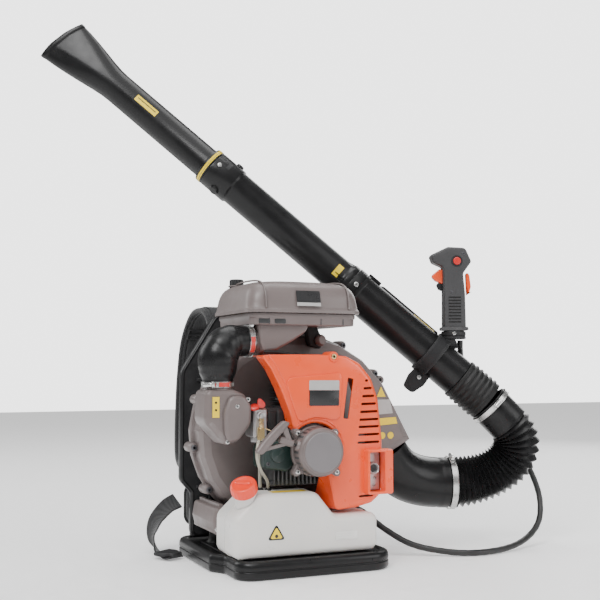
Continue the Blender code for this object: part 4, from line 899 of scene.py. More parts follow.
def make_nozzle():
    """Bayonet band, long round barrel and the fishtail mouth."""
    steps = 64
    wide_way = -TUBE_TOP

    def section(distance, wide, thick, power, slant, ridge=0.0, skew=0.0):
        ring = []
        for j in range(steps):
            turn = tau * (j + 0.5) / steps
            c, s = cos(turn), sin(turn)
            x = copysign(abs(c) ** power, c) * wide
            y = copysign(abs(s) ** power, s) * thick
            y += copysign(ridge * exp(-((x - 0.006) / (wide * 0.3)) ** 2), y)
            bow = skew * (x / wide * 0.009 + (1.0 - (x / wide) ** 2) * 0.008)
            ring.append(TUBE_ORIGIN + TUBE_DIR * (distance + bow + y * slant) + wide_way * x + DEEP * y)
        return ring

    r = 0.0302
    outer = [(0.5195, r - 0.0006, r - 0.0006, 1.0, 0.0), (0.52, r, r, 1.0, 0.0),
        (0.5466, r, r, 1.0, 0.0), (0.547, 0.0352, 0.0352, 1.0, 0.0), (0.548, 0.0358, 0.0358, 1.0, 0.0),
        (0.5585, 0.0358, 0.0358, 1.0, 0.0), (0.5598, 0.035, 0.035, 1.0, 0.0), (0.561, r + 0.001, r
        + 0.001, 1.0, 0.0), (0.564, r, r, 1.0, 0.0), (0.7, r, r, 1.0, 0.0), (0.788, r, r, 1.0, 0.0),
        (0.805, 0.031, 0.03, 0.97, 0.03, 0.0, 0.1), (0.83, 0.0346, 0.0288, 0.86, 0.08, 0.0008, 0.25),
        (0.855, 0.039, 0.0262, 0.74, 0.16, 0.0018, 0.45), (0.88, 0.043, 0.0232, 0.62, 0.26, 0.0026,
        0.65), (0.905, 0.0462, 0.02, 0.5, 0.36, 0.003, 0.85), (0.923, 0.0478, 0.0176, 0.42, 0.42,
        0.0028, 0.95), (0.9262, 0.0484, 0.0174, 0.4, 0.44, 0.0026, 1.0), (0.9275, 0.049, 0.0178, 0.4,
        0.44, 0.0026, 1.0), (0.9335, 0.0492, 0.0178, 0.38, 0.45, 0.0022, 1.0), (0.935, 0.0486, 0.0172,
        0.38, 0.45, 0.002, 1.0)]
    bore = [(d, w - 0.0022, t - 0.0022, p, s, *rest) for d, w, t, p, s, *rest in outer if w < 0.035
        or d > 0.6]
    bore[-1] = (0.9352, 0.0466, 0.015, 0.38, 0.45, 0.002, 1.0)
    rings = [section(*row) for row in outer] + [section(*row) for row in reversed(bore)]
    Shape().skin(rings, loop=True).make("nozzle_fishtail", "gloss", "nozzle", 42, replaces=["nozzle"])
    Shape().lathe([(0.0359, 0.55), (0.0362, 0.55), (0.0362, 0.5562), (0.0359, 0.5562)], TUBE_DIR,
        TUBE_ORIGIN, 72).make("nozzle_band", "label_yellow", "nozzle", 35)
    Shape().lathe([(0.036, 0.5522), (0.0363, 0.5522), (0.0363, 0.5528), (0.036, 0.5528)], TUBE_DIR,
        TUBE_ORIGIN, 72).make("nozzle_band_line", "label_black", "nozzle", 35)
    screws("nozzle_screw", "pipe_2", [(on_tube(0.535, 0.011, -0.034), -DEEP + TUBE_TOP * 0.32, 0.0042)])
    tube_sticker("nozzle_sticker", "nozzle", 0.69, 0.742, 0.0303, 64.0, 88.0, "label_yellow",
        "tank_white")
    tube_sticker("nozzle_sticker_line", "nozzle", 0.694, 0.738, 0.0306, 72.0, 75.0, "label_black",
        "matte_black", 2)


# Handle

def make_clamp():
    """Ring round the tube with its tab, stem and collar."""
    Shape().lathe([(0.0373, -0.0138), (0.0415, -0.0138), (0.0424, -0.013), (0.0424, -0.009),
        (0.0418, -0.0082), (0.0418, 0.0068), (0.0424, 0.0076), (0.0424, 0.0116), (0.0415, 0.0124),
        (0.0373, 0.0124)], TUBE_DIR, TUBE_ORIGIN, 72).make("clamp_ring", "matte", WAND, 35)
    place = Matrix((TUBE_DIR, -TUBE_TOP, DEEP)).transposed().to_4x4()
    tab = Shape()
    tab.puffed(filleted([(-0.025, 0.03, 0.002), (0.006, 0.03, 0.002), (0.008, 0.056, 0.006),
        (0.002, 0.08, 0.008), (-0.02, 0.079, 0.008), (-0.027, 0.054, 0.006)]), -0.0075, 0.0075, 0.0022)
    for low, high in ((-0.0082, -0.0072),):
        tab.puffed(filleted([(-0.0205, 0.045, 0.004), (0.0035, 0.045, 0.004), (-0.001, 0.074, 0.006),
            (-0.0175, 0.073, 0.006)]), high, low, 0.0006)
    made = tab.make("clamp_tab", "matte", WAND, 35)
    made.data.transform(Matrix.Translation(TUBE_ORIGIN) @ place)
    foot = on_grip(0.324 - GRIP_SHIFT, 0.386)
    collar = Shape()
    low = foot - UP * 0.0005
    collar.lathe([(0.0, 0.0), (0.0218, 0.0), (0.0233, 0.0012), (0.0233, 0.0046), (0.0222, 0.0054),
        (0.0222, 0.0066), (0.0233, 0.0074), (0.0233, 0.0128), (0.022, 0.0146), (0.019, 0.0153),
        (0.0, 0.0153)], UP, low, 48)
    stem = []
    for t, r in ((0.0, 0.015), (0.25, 0.0155), (0.5, 0.0165), (0.75, 0.018), (1.0, 0.019)):
        stem.append((on_tube(0.0, 0.0, 0.0).lerp(foot, 0.25 + 0.75 * t) + TUBE_TOP * 0.012 * (1 - t),
            r))
    collar.tube([p for p, r in stem], [r for p, r in stem], 28)
    collar.make("handle_collar", "matte", WAND, 35, replaces=["handle_clamp"])
    screws("collar_screw", WAND, [(foot + ACROSS * -0.002 - DEEP * 0.023 + UP * 0.0098, -DEEP, 0.0036)])
    screws("clamp_screw", WAND, [(TUBE_ORIGIN + TUBE_TOP * -0.048 + TUBE_DIR * -0.01 - DEEP * 0.0078,
        -DEEP, 0.0042)], "steel")


GRIP_OUTLINE = [(.2694, .402, .004), (.3131, .402, .004), (.312, .4715, .02), (.3085, .51, .01),
    (.3245, .5322, .006), (.313, .559, .01), (.28, .5607, .01), (.2448, .544, .0055), (.25, .53, .005),
    (.269, .5215, .006), (.27, .4715, .02)]


def make_grip():
    """Two rounded halves with a parting groove, rubber ribs, a flared foot and screws."""
    outline = filleted(GRIP_OUTLINE, 6)
    for name, way, node in (("grip_half_front", -1.0, "grip_near"),
            ("grip_half_back", 1.0, "grip_far")):
        half = Shape()
        lift = LIFTS["GRIP"]
        rings = [[lift(p, way * 0.0002) for p in inset(outline, 0.0007)], [lift(p, way * 0.0007)
            for p in outline]]
        arcs = 6
        radius = 0.0085
        rings.append([lift(p, way * 0.008) for p in outline])
        for i in range(1, arcs + 1):
            turn = pi / 2 * i / arcs
            rings.append([lift(p, way * (0.008 + radius * sin(turn)))
                for p in inset(outline, 0.004 * (1 - cos(turn)))])
        half.skin(rings)
        half.make(name, "grip", WAND, 42, replaces=[node])
    pads = Shape()
    for way in (-1.0, 1.0):
        for k in range(9):
            z = 0.4165 + 0.0058 * k
            pads.puffed([vec(.2795, z), vec(.303, z), vec(.303, z + .0026), vec(.2795, z + .0026)], way
                * 0.015, way * 0.0172, 0.0006, "GRIP")
    pads.make("grip_ribs", "rubber", WAND, 40)
    foot = Shape()
    for way in (-1.0, 1.0):
        foot.puffed(filleted([(.264, .4016, .003), (.318, .4016, .003), (.315, .4085, .002),
            (.2675, .4085, .002)], 3), 0.0, way * 0.0185, 0.004, "GRIP", both=False)
    foot.make("grip_foot", "grip", WAND, 42)
    screws("grip_screws", WAND, [(on_grip(.3085, .547, -0.0152), -DEEP, 0.0036),
        (on_grip(.286, .474, -0.016), -DEEP, 0.003), (on_grip(.3085, .547, 0.0152), DEEP, 0.0036)],
        "dark_alloy")
    ring = Shape()
    centre = on_grip(.296, .533, -0.015)
    ring.lathe([(0.008, -0.002), (0.0108, -0.002), (0.0108, 0.0018), (0.0102, 0.0026), (0.0086, 0.0026),
        (0.008, 0.0018)], -DEEP, centre, 40)
    ring.make("stop_switch_bezel", "matte", WAND, 35)
    button = Shape()
    face = on_grip(.296, .533, -0.011)
    button.lathe([(0.0, 0.0), (0.0073, 0.0), (0.0073, 0.0066), (0.0068, 0.0078), (0.0058, 0.0084),
        (0.003, 0.008), (0.0, 0.0078)], -DEEP, face, 40)
    button.make("stop_button", "red", "stop_switch", 40, replaces=["stop_switch"])


def make_triggers():
    """Throttle trigger with its finger stop and the cruise lever."""
    trigger = Shape()
    outline = filleted([(.279, .5165, .003), (.264, .5185, .004), (.248, .505, .005),
        (.256, .496, .004), (.27, .49, .005), (.279, .5, .003)], 5)
    trigger.puffed(outline, -0.0065, 0.0065, 0.0022, "GRIP", 4)
    trigger.make("trigger_blade", "orange", "trigger", 40, replaces=["trigger"])
    lever = Shape()
    outline = filleted([(.3165, .5165, .003), (.3215, .506, .004), (.324, .485, .006),
        (.3205, .473, .004), (.3155, .469, .003), (.315, .485, .003), (.314, .508, .003)], 4)
    lever.puffed(outline, -0.006, 0.006, 0.002, "GRIP", 4)
    lever.make("cruise_blade", "orange", "cruise_lever", 40, replaces=["cruise_lever"])
    Shape().puffed(filleted([(.27, .4895, .002), (.262, .493, .003), (.2585, .488, .003),
        (.262, .48, .004), (.27, .476, .002)], 4), -0.0052, 0.0052, 0.0016, "GRIP",
        3).make("finger_stop", "matte", "trigger", 40)


# Outlet elbow, lower clamp and blower housing

def scroll_radius(turn):
    q = max(turn, 0.0) / 90.0
    return 0.13 + 0.024 * q + 0.0036 * q * q


def scroll_outline(grow=0.0):
    """The volute's side view in X and Z, with its outlet duct."""
    points = []
    for i in range(0, 105):
        turn = -72.0 + 313.0 * i / 104
        r = scroll_radius(turn) + grow
        a = radians(turn)
        points.append(vec(AXIS_X - r * sin(a), AXIS_Z - r * cos(a)))
    way = vec(0.485, -0.875).normalized()
    last = points[-1]
    points.append(last + way * 0.118)
    across = vec(way.y, -way.x)
    if (vec(AXIS_X, AXIS_Z) - last).dot(across) < 0:
        across = -across
    points.append(last + way * 0.118 + across * (0.094 + 2 * grow))
    points.append(points[0] * 0.55 + (last + way * 0.045 + across * (0.094 + grow)) * 0.45)
    return points


def make_outlet():
    """Glossy elbow, its socket rim and the steel clamp on the hose."""
    middle = vec(0.2206, 0.04, 0.1767)
    out = vec(0.485, 0.0, -0.875).normalized()
    ahead = vec(0.952, -0.305, 0.0).normalized()
    line = bezier(middle + out * 0.001, middle + out * 0.06, HOSE_START - ahead * 0.05, HOSE_START, 40)
    total = len(line)
    radii = []
    for i in range(total):
        radii.append(0.046 + (0.0009 if i > total - 6 else 0.0))
    ways = tangents(line)
    rings = []
    bore = []
    for point, way, radius in zip(line, ways, radii):
        x = (vec(0, 1, 0) - way * way.y).normalized()
        y = way.cross(x)
        rings.append([point + x * (radius * cos(tau * j / 72)) + y * (radius * sin(tau * j / 72))
            for j in range(72)])
        bore.append([point + x * (0.0425 * cos(tau * j / 72)) + y * (0.0425 * sin(tau * j / 72))
            for j in range(72)])
    Shape().skin(rings + list(reversed(bore)), loop=True).make("elbow_shell", "gloss", MACHINE, 40,
        replaces=["outlet_elbow"])
    seam = Shape()
    for side in (1.0, -1.0):
        strip = []
        for point, way in zip(line[2:-5], ways[2:-5]):
            x = (vec(0, 1, 0) - way * way.y).normalized()
            y = way.cross(x) * side
            strip.append([point + y * 0.0455 + x * 0.0012, point + y * 0.0468 + x * 0.0005, point + y
                * 0.0468 - x * 0.0005, point + y * 0.0455 - x * 0.0012])
        seam.skin(strip)
    seam.make("elbow_seam", "gloss", MACHINE, 40)
    worm_clamp("hose_worm_clamp", MACHINE, HOSE_START + ahead * 0.007, ahead, 0.0487, 0.0105,
        vec(0.0, -0.3, 1.0), None, ["hose_clamp_lower"])


def make_volute():
    """Bolted seam, screw bosses, fins and stickers on the blower housing."""
    for node in ("volute_front", "volute_rear"):
        paint(node, "grey")
    outline = scroll_outline(0.0)[:100]
    flange = Shape()
    rings = []
    for i, p in enumerate(outline):
        before = outline[max(i - 1, 0)]
        after = outline[min(i + 1, len(outline) - 1)]
        way = (after - before).normalized()
        out = vec(way.y, -way.x)
        if out.dot(p - vec(AXIS_X, AXIS_Z)) < 0:
            out = -out
        rings.append([LIFTS["XZ"](p - out * 0.002, 0.0365), LIFTS["XZ"](p + out * 0.0042, 0.0368),
            LIFTS["XZ"](p + out * 0.0048, 0.0375), LIFTS["XZ"](p + out * 0.0048, 0.0392),
            LIFTS["XZ"](p + out * 0.004, 0.0396), LIFTS["XZ"](p + out * 0.004, 0.0404),
            LIFTS["XZ"](p + out * 0.0048, 0.0408), LIFTS["XZ"](p + out * 0.0048, 0.0425),
            LIFTS["XZ"](p + out * 0.0042, 0.0432), LIFTS["XZ"](p - out * 0.002, 0.0435)])
    flange.skin(rings)
    flange.make("volute_seam", "grey", MACHINE, 40)
    bosses = Shape()
    bolts = []
    for turn in (-50, 62, 90, 118, 152, 186, 214, 236):
        a = radians(turn)
        r = scroll_radius(turn) + 0.005
        x, z = AXIS_X - r * sin(a), AXIS_Z - r * cos(a)
        bosses.lathe([(0.0, 0.022), (0.0058, 0.022), (0.0082, 0.026), (0.0086, 0.039), (0.0086, 0.054),
            (0.007, 0.057), (0.0, 0.057)], (0, 1, 0), (x, 0, z), 28)
        bolts.append(((x, 0.0216, z), (0, -1, 0), 0.005))
        bolts.append(((x, 0.0572, z), (0, 1, 0), 0.0042))
    bosses.make("volute_bosses", "grey", MACHINE, 40)
    screws("volute_bolts", MACHINE, bolts, "dark_alloy", "cast_alloy")
    sticker("volute_triangle", MACHINE, [(0.185, -0.0056, 0.279), (0.203, -0.0056, 0.279),
        (0.1942, -0.0056, 0.297), (0.1938, -0.0056, 0.297)], "label_yellow", "tank_white")
    sticker("volute_plate", MACHINE, [(0.187, -0.0056, 0.247), (0.218, -0.0056, 0.249),
        (0.212, -0.0056, 0.274), (0.187, -0.0056, 0.274)], "label_grey", "starter_grey")
    sticker("volute_band", MACHINE, [(0.187, -0.0056, 0.227), (0.227, -0.0056, 0.23),
        (0.224, -0.0056, 0.242), (0.187, -0.0056, 0.24)], "label_yellow", "tank_white")
    dots = Shape()
    for x in (0.196, 0.213):
        dots.lathe([(0.0, 0.0), (0.0062, 0.0), (0.0062, 0.0004), (0.0, 0.0004)], (0, -1, 0),
            (x, -0.0054, 0.209), 28)
    dots.make("volute_dots", "label_yellow")
    Shape().lathe([(0.0035, 0.03), (0.0075, 0.03), (0.008, 0.031), (0.008, 0.049), (0.0075, 0.05),
        (0.0035, 0.05)], (0, 1, 0), (0.2115, 0, 0.309), 32).make("volute_ear", "grey", MACHINE, 40)
    ribs = Shape()
    for turn in range(0, 360, 20):
        a = radians(turn)
        s, c = sin(a), cos(a)
        low, high = 0.088, 0.113
        side = vec(c, 0, -s) * 0.0011
        foot = vec(AXIS_X + s * low, 0.0846, AXIS_Z + c * low)
        tip = vec(AXIS_X + s * high, 0.0846, AXIS_Z + c * high)
        rise = vec(0, 0.0038, 0)
        ribs.skin([[foot - side, tip - side, tip - side + rise * 0.2, foot - side + rise], [foot + side,
            tip + side, tip + side + rise * 0.2, foot + side + rise]])
    ribs.make("volute_back_ribs", "grey", MACHINE, 40)


def paint(node, look):
    """Give a carried-over CAD node a finished material."""
    obj = NODES[node]
    obj = obj if hasattr(obj, "data") else bpy.data.objects[obj]
    while obj.data.materials:
        obj.data.materials.pop()
    obj.data.materials.append(LOOKS[look])


CARRIED = {"impeller": "matte", "flywheel": "alloy", "crankshaft": "steel", "crankcase": "alloy",
    "cylinder": "alloy", "piston": "alloy", "connecting_rod": "steel", "bearing_front": "steel",
    "bearing_rear": "steel", "spark_plug": "white", "ignition_coil": "matte", "carburettor": "alloy",
    "insulator": "matte", "starter_pulley": "matte", "starter_rope": "webbing",
    "filter_element": "foam", "intake_grille": "matte", "throttle_lever": "gold", "choke_lever": "red",}


def paint_carried():
    for node, look in CARRIED.items():
        paint(node, look)


# Engine

def arc_points(radius, first, last, steps):
    points = []
    for i in range(steps + 1):
        a = radians(first + (last - first) * i / steps)
        points.append(vec(AXIS_X + radius * cos(a), AXIS_Z + radius * sin(a)))
    return points


def cut(obj, cutters):
    """Cut closed shapes out of a piece."""
    for shape in cutters:
        mesh = bpy.data.meshes.new("cutter")
        mesh.from_pydata([tuple(v) for v in shape.verts], [], shape.faces)
        tidy = bmesh.new()
        tidy.from_mesh(mesh)
        bmesh.ops.recalc_face_normals(tidy, faces=tidy.faces)
        tidy.to_mesh(mesh)
        tidy.free()
        tool = bpy.data.objects.new("cutter", mesh)
        bpy.context.scene.collection.objects.link(tool)
        step = obj.modifiers.new("cut", "BOOLEAN")
        step.object = tool
        step.operation = "DIFFERENCE"
        step.solver = "EXACT"
        depsgraph = bpy.context.evaluated_depsgraph_get()
        done = bpy.data.meshes.new_from_object(obj.evaluated_get(depsgraph))
        obj.modifiers.remove(step)
        old = obj.data
        obj.data = done
        bpy.data.meshes.remove(old)
        bpy.data.objects.remove(tool)
    obj.data.shade_smooth()
    obj.data.set_sharp_from_angle(angle=SMOOTH_ANGLE)


COVER_EDGE = [(0.048, 0.098, 0.01), (0.09, 0.1, 0.012), (0.118, 0.106, 0.012), (0.133, 0.118, 0.012),
    (0.1385, 0.14, 0.02), (0.1385, 0.21, 0.04), (0.131, 0.28, 0.06), (0.118, 0.315, 0.03),
    (0.096, 0.34, 0.022), (0.07, 0.351, 0.022), (0.02, 0.3535, 0.0), (-0.03, 0.3535, 0.0),
    (-0.062, 0.353, 0.0)]
COVER_LEFT = [(-0.083, 0.3515, 0.003), (-0.066, 0.33, 0.01), (-0.05, 0.3, 0.02), (-0.034, 0.262, 0.02),
    (-0.027, 0.238, 0.006)]


def make_engine_cover():
    """Orange shell with rounded shoulders, a raised panel, louvres and the muffler guard."""
    arch = [(p.x, p.y, 0.0) for p in arc_points(0.0455, 138, -58, 34)]
    outline = filleted(COVER_LEFT + arch + COVER_EDGE, 5)
    face_y, wall = -0.118, 0.0026

    def back_depth(p):
        if p.x < 0.05 and p.y > 0.235 and p.y < 0.352:
            return -0.088
        if (p - vec(AXIS_X, AXIS_Z)).length < 0.0475:
            return -0.1085
        if p.x < 0.06 and p.y < 0.165:
            return -0.06
        return -0.024

    def rounding(p):
        if p.x < -0.045:
            return 0.0028
        return 0.0034 + 0.0066 * min(1.0, max(0.0, (p.x - 0.062) / 0.03))

    lift = LIFTS["XZ"]
    arcs = 6
    radii = [rounding(p) for p in outline]
    rings = []
    backs = [back_depth(p) for p in outline]
    inner = inset(outline, wall)
    slope = []
    for p in outline:
        drift = vec(0.0, 0.0)
        if p.x < 0.06 and p.y < 0.165:
            drift = vec(-0.012, 0.0)
        slope.append(drift)
    for i in range(arcs, -1, -1):
        turn = pi / 2 * i / arcs
        near = inset(outline, [wall + max(0.0003, r - wall) * (1 - cos(turn)) for r in radii])
        rings.append([lift(p, face_y + wall + max(0.0003, r - wall) * (1 - sin(turn))) for p,
            r in zip(near, radii)])
    rings.append([lift(p + d, b) for p, d, b in zip(inner, slope, backs)])
    rings.append([lift(p + d, b) for p, d, b in zip(outline, slope, backs)])
    for i in range(0, arcs + 1):
        turn = pi / 2 * i / arcs
        near = inset(outline, [r * (1 - cos(turn)) for r in radii])
        rings.append([lift(p, face_y + r * (1 - sin(turn))) for p, r in zip(near, radii)])
    shell = Shape().skin(rings)
    cover = shell.make("engine_shell", "orange", MACHINE, 40, replaces=["engine_cover"])
    louvres = [(0.1037, 0.11, 0.31), (0.101, 0.1163, 0.297), (0.0985, 0.121, 0.284),
        (0.0965, 0.1242, 0.271), (0.0945, 0.1275, 0.258), (0.093, 0.129, 0.245), (0.0915, 0.13, 0.233),
        (0.0905, 0.13, 0.22), (0.0895, 0.13, 0.207)]
    cutters = []
    for low, high, z in louvres:
        cutters.append(Shape().prism(filleted([(low, z - 0.002, 0.0015), (high, z - 0.0012, 0.0015),
            (high, z + 0.0028, 0.0015), (low, z + 0.002, 0.0015)], 3), -0.13, -0.112, "XZ"))
    cutters.append(Shape().prism(filleted([(0.0915, 0.1165, 0.0015), (0.118, 0.1178, 0.0015),
        (0.118, 0.1215, 0.0015), (0.0915, 0.1202, 0.0015)], 3), -0.13, -0.112, "XZ"))
    cutters.append(Shape().prism(filleted([(0.063, 0.248, 0.002), (0.0725, 0.2465, 0.002),
        (0.0822, 0.313, 0.002), (0.0718, 0.3155, 0.002)], 3), -0.13, -0.112, "XZ"))
    cutters.append(Shape().prism([Vector(p) for p in ((0.1045, 0.1255), (0.134, 0.1255),
        (0.134, 0.1925), (0.1045, 0.1925))], -0.13, -0.11, "XZ"))
    cut(cover, cutters)
    panel = Shape()
    shape = filleted([(-0.044, 0.315, 0.012), (0.056, 0.3235, 0.004), (0.061, 0.315, 0.01),
        (0.0555, 0.245, 0.01), (0.04, 0.2465, 0.01), (0.012, 0.251, 0.03), (-0.012, 0.244, 0.006),
        (-0.02, 0.247, 0.006)], 6)
    panel.puffed(shape, -0.117, -0.1204, 0.0018, "XZ", 4)
    panel.make("engine_shell_panel", "orange")
    lip = Shape()
    line = [lift(p, -0.1182) for p in arc_points(0.0525, 128, 12, 40)]
    lip.tube(line, 0.0011, 8, (0, 1, 0))
    trim = [lift(p, -0.116) for p in inset(outline, 0.0105)[2:26]]
    lip.tube([p + vec(0, -0.002, 0) for p in trim], 0.0012, 8, (0, 1, 0))
    lip.make("engine_shell_beads", "orange", MACHINE, 45)
    Shape().lathe([(0.0, -0.09), (0.0085, -0.09), (0.0085, -0.119), (0.0078, -0.1205),
        (0.0052, -0.1205), (0.005, -0.119), (0.0, -0.119)], (0, 1, 0), (0.045, 0, 0.35),
        32).make("engine_shell_boss", "orange")
    screws("engine_shell_screw", MACHINE, [((0.045, -0.1192, 0.35), (0, -1, 0), 0.0046)], "gold")
    guard = Shape()
    low, high = vec(0.101, 0.122), vec(0.149, 0.196)
    frame_out = filleted(rectangle(low.x, low.y, high.x, high.y, 0.004), 4)
    hole = filleted(rectangle(0.1055, 0.1265, 0.1335, 0.1915, 0.002), 4)
    steps = [(frame_out, -0.115), (frame_out, -0.131), (inset(frame_out, 0.0008), -0.1325),
        (inset(frame_out, 0.002), -0.133), (inset(hole, -0.001), -0.133), (hole, -0.1322),
        (hole, -0.115)]
    guard.skin([[lift(p, y) for p in o] for o, y in steps], loop=True)
    guard.make("muffler_guard", "orange")
    Shape().puffed(filleted([(0.0, 0.2695, 0.002), (0.054, 0.269, 0.002), (0.0545, 0.2945, 0.0005),
        (0.0, 0.295, 0.0005)], 3), -0.1203, -0.1209, 0.0002, "XZ",
        2).make("engine_label", "label_black")
    Shape().puffed(filleted([(0.0, 0.2952, 0.0005), (0.0545, 0.2947, 0.0005), (0.0545, 0.311, 0.002),
        (0.0, 0.3113, 0.002)], 3), -0.1203, -0.1209, 0.0002, "XZ",
        2).make("engine_label_strip", "label_grey")
    lead = smooth_line([(-0.07, -0.095, 0.3575), (-0.048, -0.101, 0.357), (-0.025, -0.106, 0.353),
        (-0.008, -0.108, 0.35), (0.006, -0.095, 0.35), (0.011, -0.07, 0.352), (0.012, -0.053, 0.3475)],
        0.004)
    Shape().tube(lead, 0.003, 14).make("ignition_lead", "rubber", MACHINE, 45)
    Shape().lathe([(0.0, 0.0), (0.007, 0.0), (0.0076, 0.0015), (0.0076, 0.004), (0.0066, 0.006),
        (0.0066, 0.01), (0.0045, 0.0125), (0.0, 0.013)], UP, (0.012, -0.051, 0.3393),
        28).lathe([(0.0, 0.0), (0.0042, 0.0), (0.0052, 0.004), (0.0058, 0.012), (0.0046, 0.016),
        (0.0, 0.0165)], (0.9, 0.25, -0.3), (-0.021, -0.106, 0.3525), 20).make("plug_cap", "rubber",
        MACHINE, 45, replaces=["plug_boot"])


def make_muffler():
    """Stamped muffler with its outlet plate, port and screws."""
    paint("muffler", "alloy")
    Shape().puffed(filleted(rectangle(0.106, 0.1275, 0.1325, 0.19, 0.003), 4), -0.1115, -0.1135, 0.0008,
        "XZ", 3).make("muffler_plate", "alloy")
    Shape().lathe([(0.0066, 0.0), (0.01, 0.0), (0.0106, 0.001), (0.01, 0.003), (0.0098, 0.008),
        (0.009, 0.0088), (0.008, 0.008), (0.0066, 0.001)], (0, -1, 0), (0.1185, -0.113, 0.164),
        36).make("muffler_port", "alloy")
    # A flat dark disc at the bottom of the port: painted shade standing in for the hollow bore.
    Shape().lathe([(0.0, 0.0), (0.0072, 0.0), (0.0072, 0.0016), (0.0, 0.0008)], (0, -1, 0),
        (0.1185, -0.1132, 0.164), 28).make("muffler_bore", "engine_black")
    screws("muffler_screws", MACHINE, [((0.124, -0.1138, 0.147), (0, -1, 0), 0.003),
        ((0.1225, -0.1138, 0.135), (0, -1, 0), 0.003), ((0.112, -0.1138, 0.185), (0, -1, 0), 0.0026)],
        "alloy")


def make_starter():
    """Recoil housing with a raised disc, vents drawn as thin dark strips of painted shade, screw ears,
    rope guide and pull grip.
    """
    centre = (AXIS_X, 0, AXIS_Z)
    Shape().lathe([(0.0, -0.1496), (0.0335, -0.1496), (0.035, -0.149), (0.0354, -0.1478),
        (0.0362, -0.147), (0.0374, -0.1462), (0.0388, -0.144), (0.0395, -0.1405), (0.0397, -0.118),
        (0.041, -0.117), (0.0414, -0.1155), (0.0414, -0.111), (0.04, -0.1085), (0.0, -0.1085)],
        (0, 1, 0), centre, 96).make("recoil_housing", "grey", replaces=["starter_housing"],
        slot="starter_grey")
    Shape().lathe([(0.0, -0.1512), (0.029, -0.1512), (0.0312, -0.1508), (0.032, -0.1499),
        (0.032, -0.149), (0.0, -0.149)], (0, 1, 0), centre, 96).make("recoil_disc", "starter")
    # The vents are thin dark strips on the housing's rim: painted shade where the slots would be.
    vent_shade = Shape()
    for k in range(28):
        a = tau * k / 28
        out = vec(cos(a), 0, sin(a))
        side = vec(-sin(a), 0, cos(a)) * 0.0016
        spot = Vector(centre) + out * 0.0398
        vent_shade.skin([[spot - side + vec(0, -0.14, 0), spot + side + vec(0, -0.14, 0), spot + side
            + vec(0, -0.124, 0), spot - side + vec(0, -0.124, 0)], [spot - side + out * 0.0003
            + vec(0, -0.14, 0), spot + side + out * 0.0003 + vec(0, -0.14, 0), spot + side + out
            * 0.0003 + vec(0, -0.124, 0), spot - side + out * 0.0003 + vec(0, -0.124, 0)]])
    vent_shade.make("recoil_vents", "engine_black")
    ears = Shape()
    bolts = []
    for x, z in ((-0.0215, 0.226), (0.0448, 0.2243), (0.0478, 0.1609), (-0.0219, 0.1641)):
        way = (vec(x, z) - vec(AXIS_X, AXIS_Z)).normalized()
        side = vec(-way.y, way.x)
        foot = vec(AXIS_X, AXIS_Z) + way * 0.036
        tip = vec(x, z) + way * 0.0018
        plan = [foot + side * 0.0105, foot - side * 0.0105]
        for i in range(9):
            a = -pi / 2 + pi * i / 8
            plan.append(tip + way * (0.006 * cos(a)) + side * (0.006 * sin(a)))
        ears.puffed(plan, -0.109, -0.1235, 0.0012, "XZ", 3)
        bolts.append(((x, -0.1237, z), (0, -1, 0), 0.004))
    ears.make("recoil_ears", "grey", slot="starter_grey")
    screws("recoil_screws", MACHINE, bolts)
    way = vec(-0.955, -0.06, 0.29).normalized()
    flat = vec(way.x, 0, way.z).normalized()
    start = vec(AXIS_X, -0.133, AXIS_Z) + flat * 0.0407
    Shape().lathe([(0.0024, -0.01), (0.011, -0.01), (0.0105, -0.004), (0.0085, 0.0008), (0.007, 0.0024),
        (0.004, 0.0026), (0.0024, 0.001)], way, start, 28).make("rope_guide", "grey", MACHINE, 40,
        slot="starter_grey")
    bar = start + way * 0.046
    along = vec(0.694, 0, 0.72).normalized()
    grip = Shape()
    rings = []
    face = way.cross(along).normalized()
    for t in range(-12, 13):
        s = t / 12
        half = 0.0068 + 0.002 * (1 - s * s) - (0.0022 if abs(t) == 12 else 0.0)
        deep = 0.0066 - (0.002 if abs(t) == 12 else 0.0)
        point = bar + along * (0.0345 * s) + way * (0.0012 * (1 - s * s))
        ring = []
        for j in range(20):
            a = tau * j / 20
            c, q = cos(a), sin(a)
            ring.append(point + way * (copysign(abs(c) ** 0.75, c) * half) + face
                * (copysign(abs(q) ** 0.75, q) * deep))
        rings.append(ring)
    grip.skin(rings)
    for sign in (-1.0, 1.0):
        arm = []
        for t in range(7):
            u = t / 6
            point = (start + way * 0.016).lerp(bar + along * (sign * 0.024) - way * 0.002, u)
            arm.append([point + along * (sign * 0.001 + 0.0048) + face * 0.004, point + along
                * (sign * 0.001 - 0.0048) + face * 0.004, point + along * (sign * 0.001 - 0.0048) - face
                * 0.004, point + along * (sign * 0.001 + 0.0048) - face * 0.004])
        grip.skin(arm)
    grip.lathe([(0.0, 0.0), (0.005, 0.0), (0.0062, 0.0012), (0.0062, 0.01), (0.0068, 0.018),
        (0.0052, 0.024), (0.0, 0.025)], way, start + way * 0.0086, 24)
    grip.make("pull_handle", "grey", "starter_grip", 42, bevel=0.001, replaces=["starter_grip"],
        slot="grip_grey")
    strands = [start + way * (0.0006 + 0.0114 * i / ROPE_RINGS) for i in range(ROPE_RINGS + 1)]
    rope = Shape().tube(strands, ROPE_RADIUS, 12).make("rope_end", "strap", None, 40,
        replaces=["starter_rope"])
    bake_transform(rope)


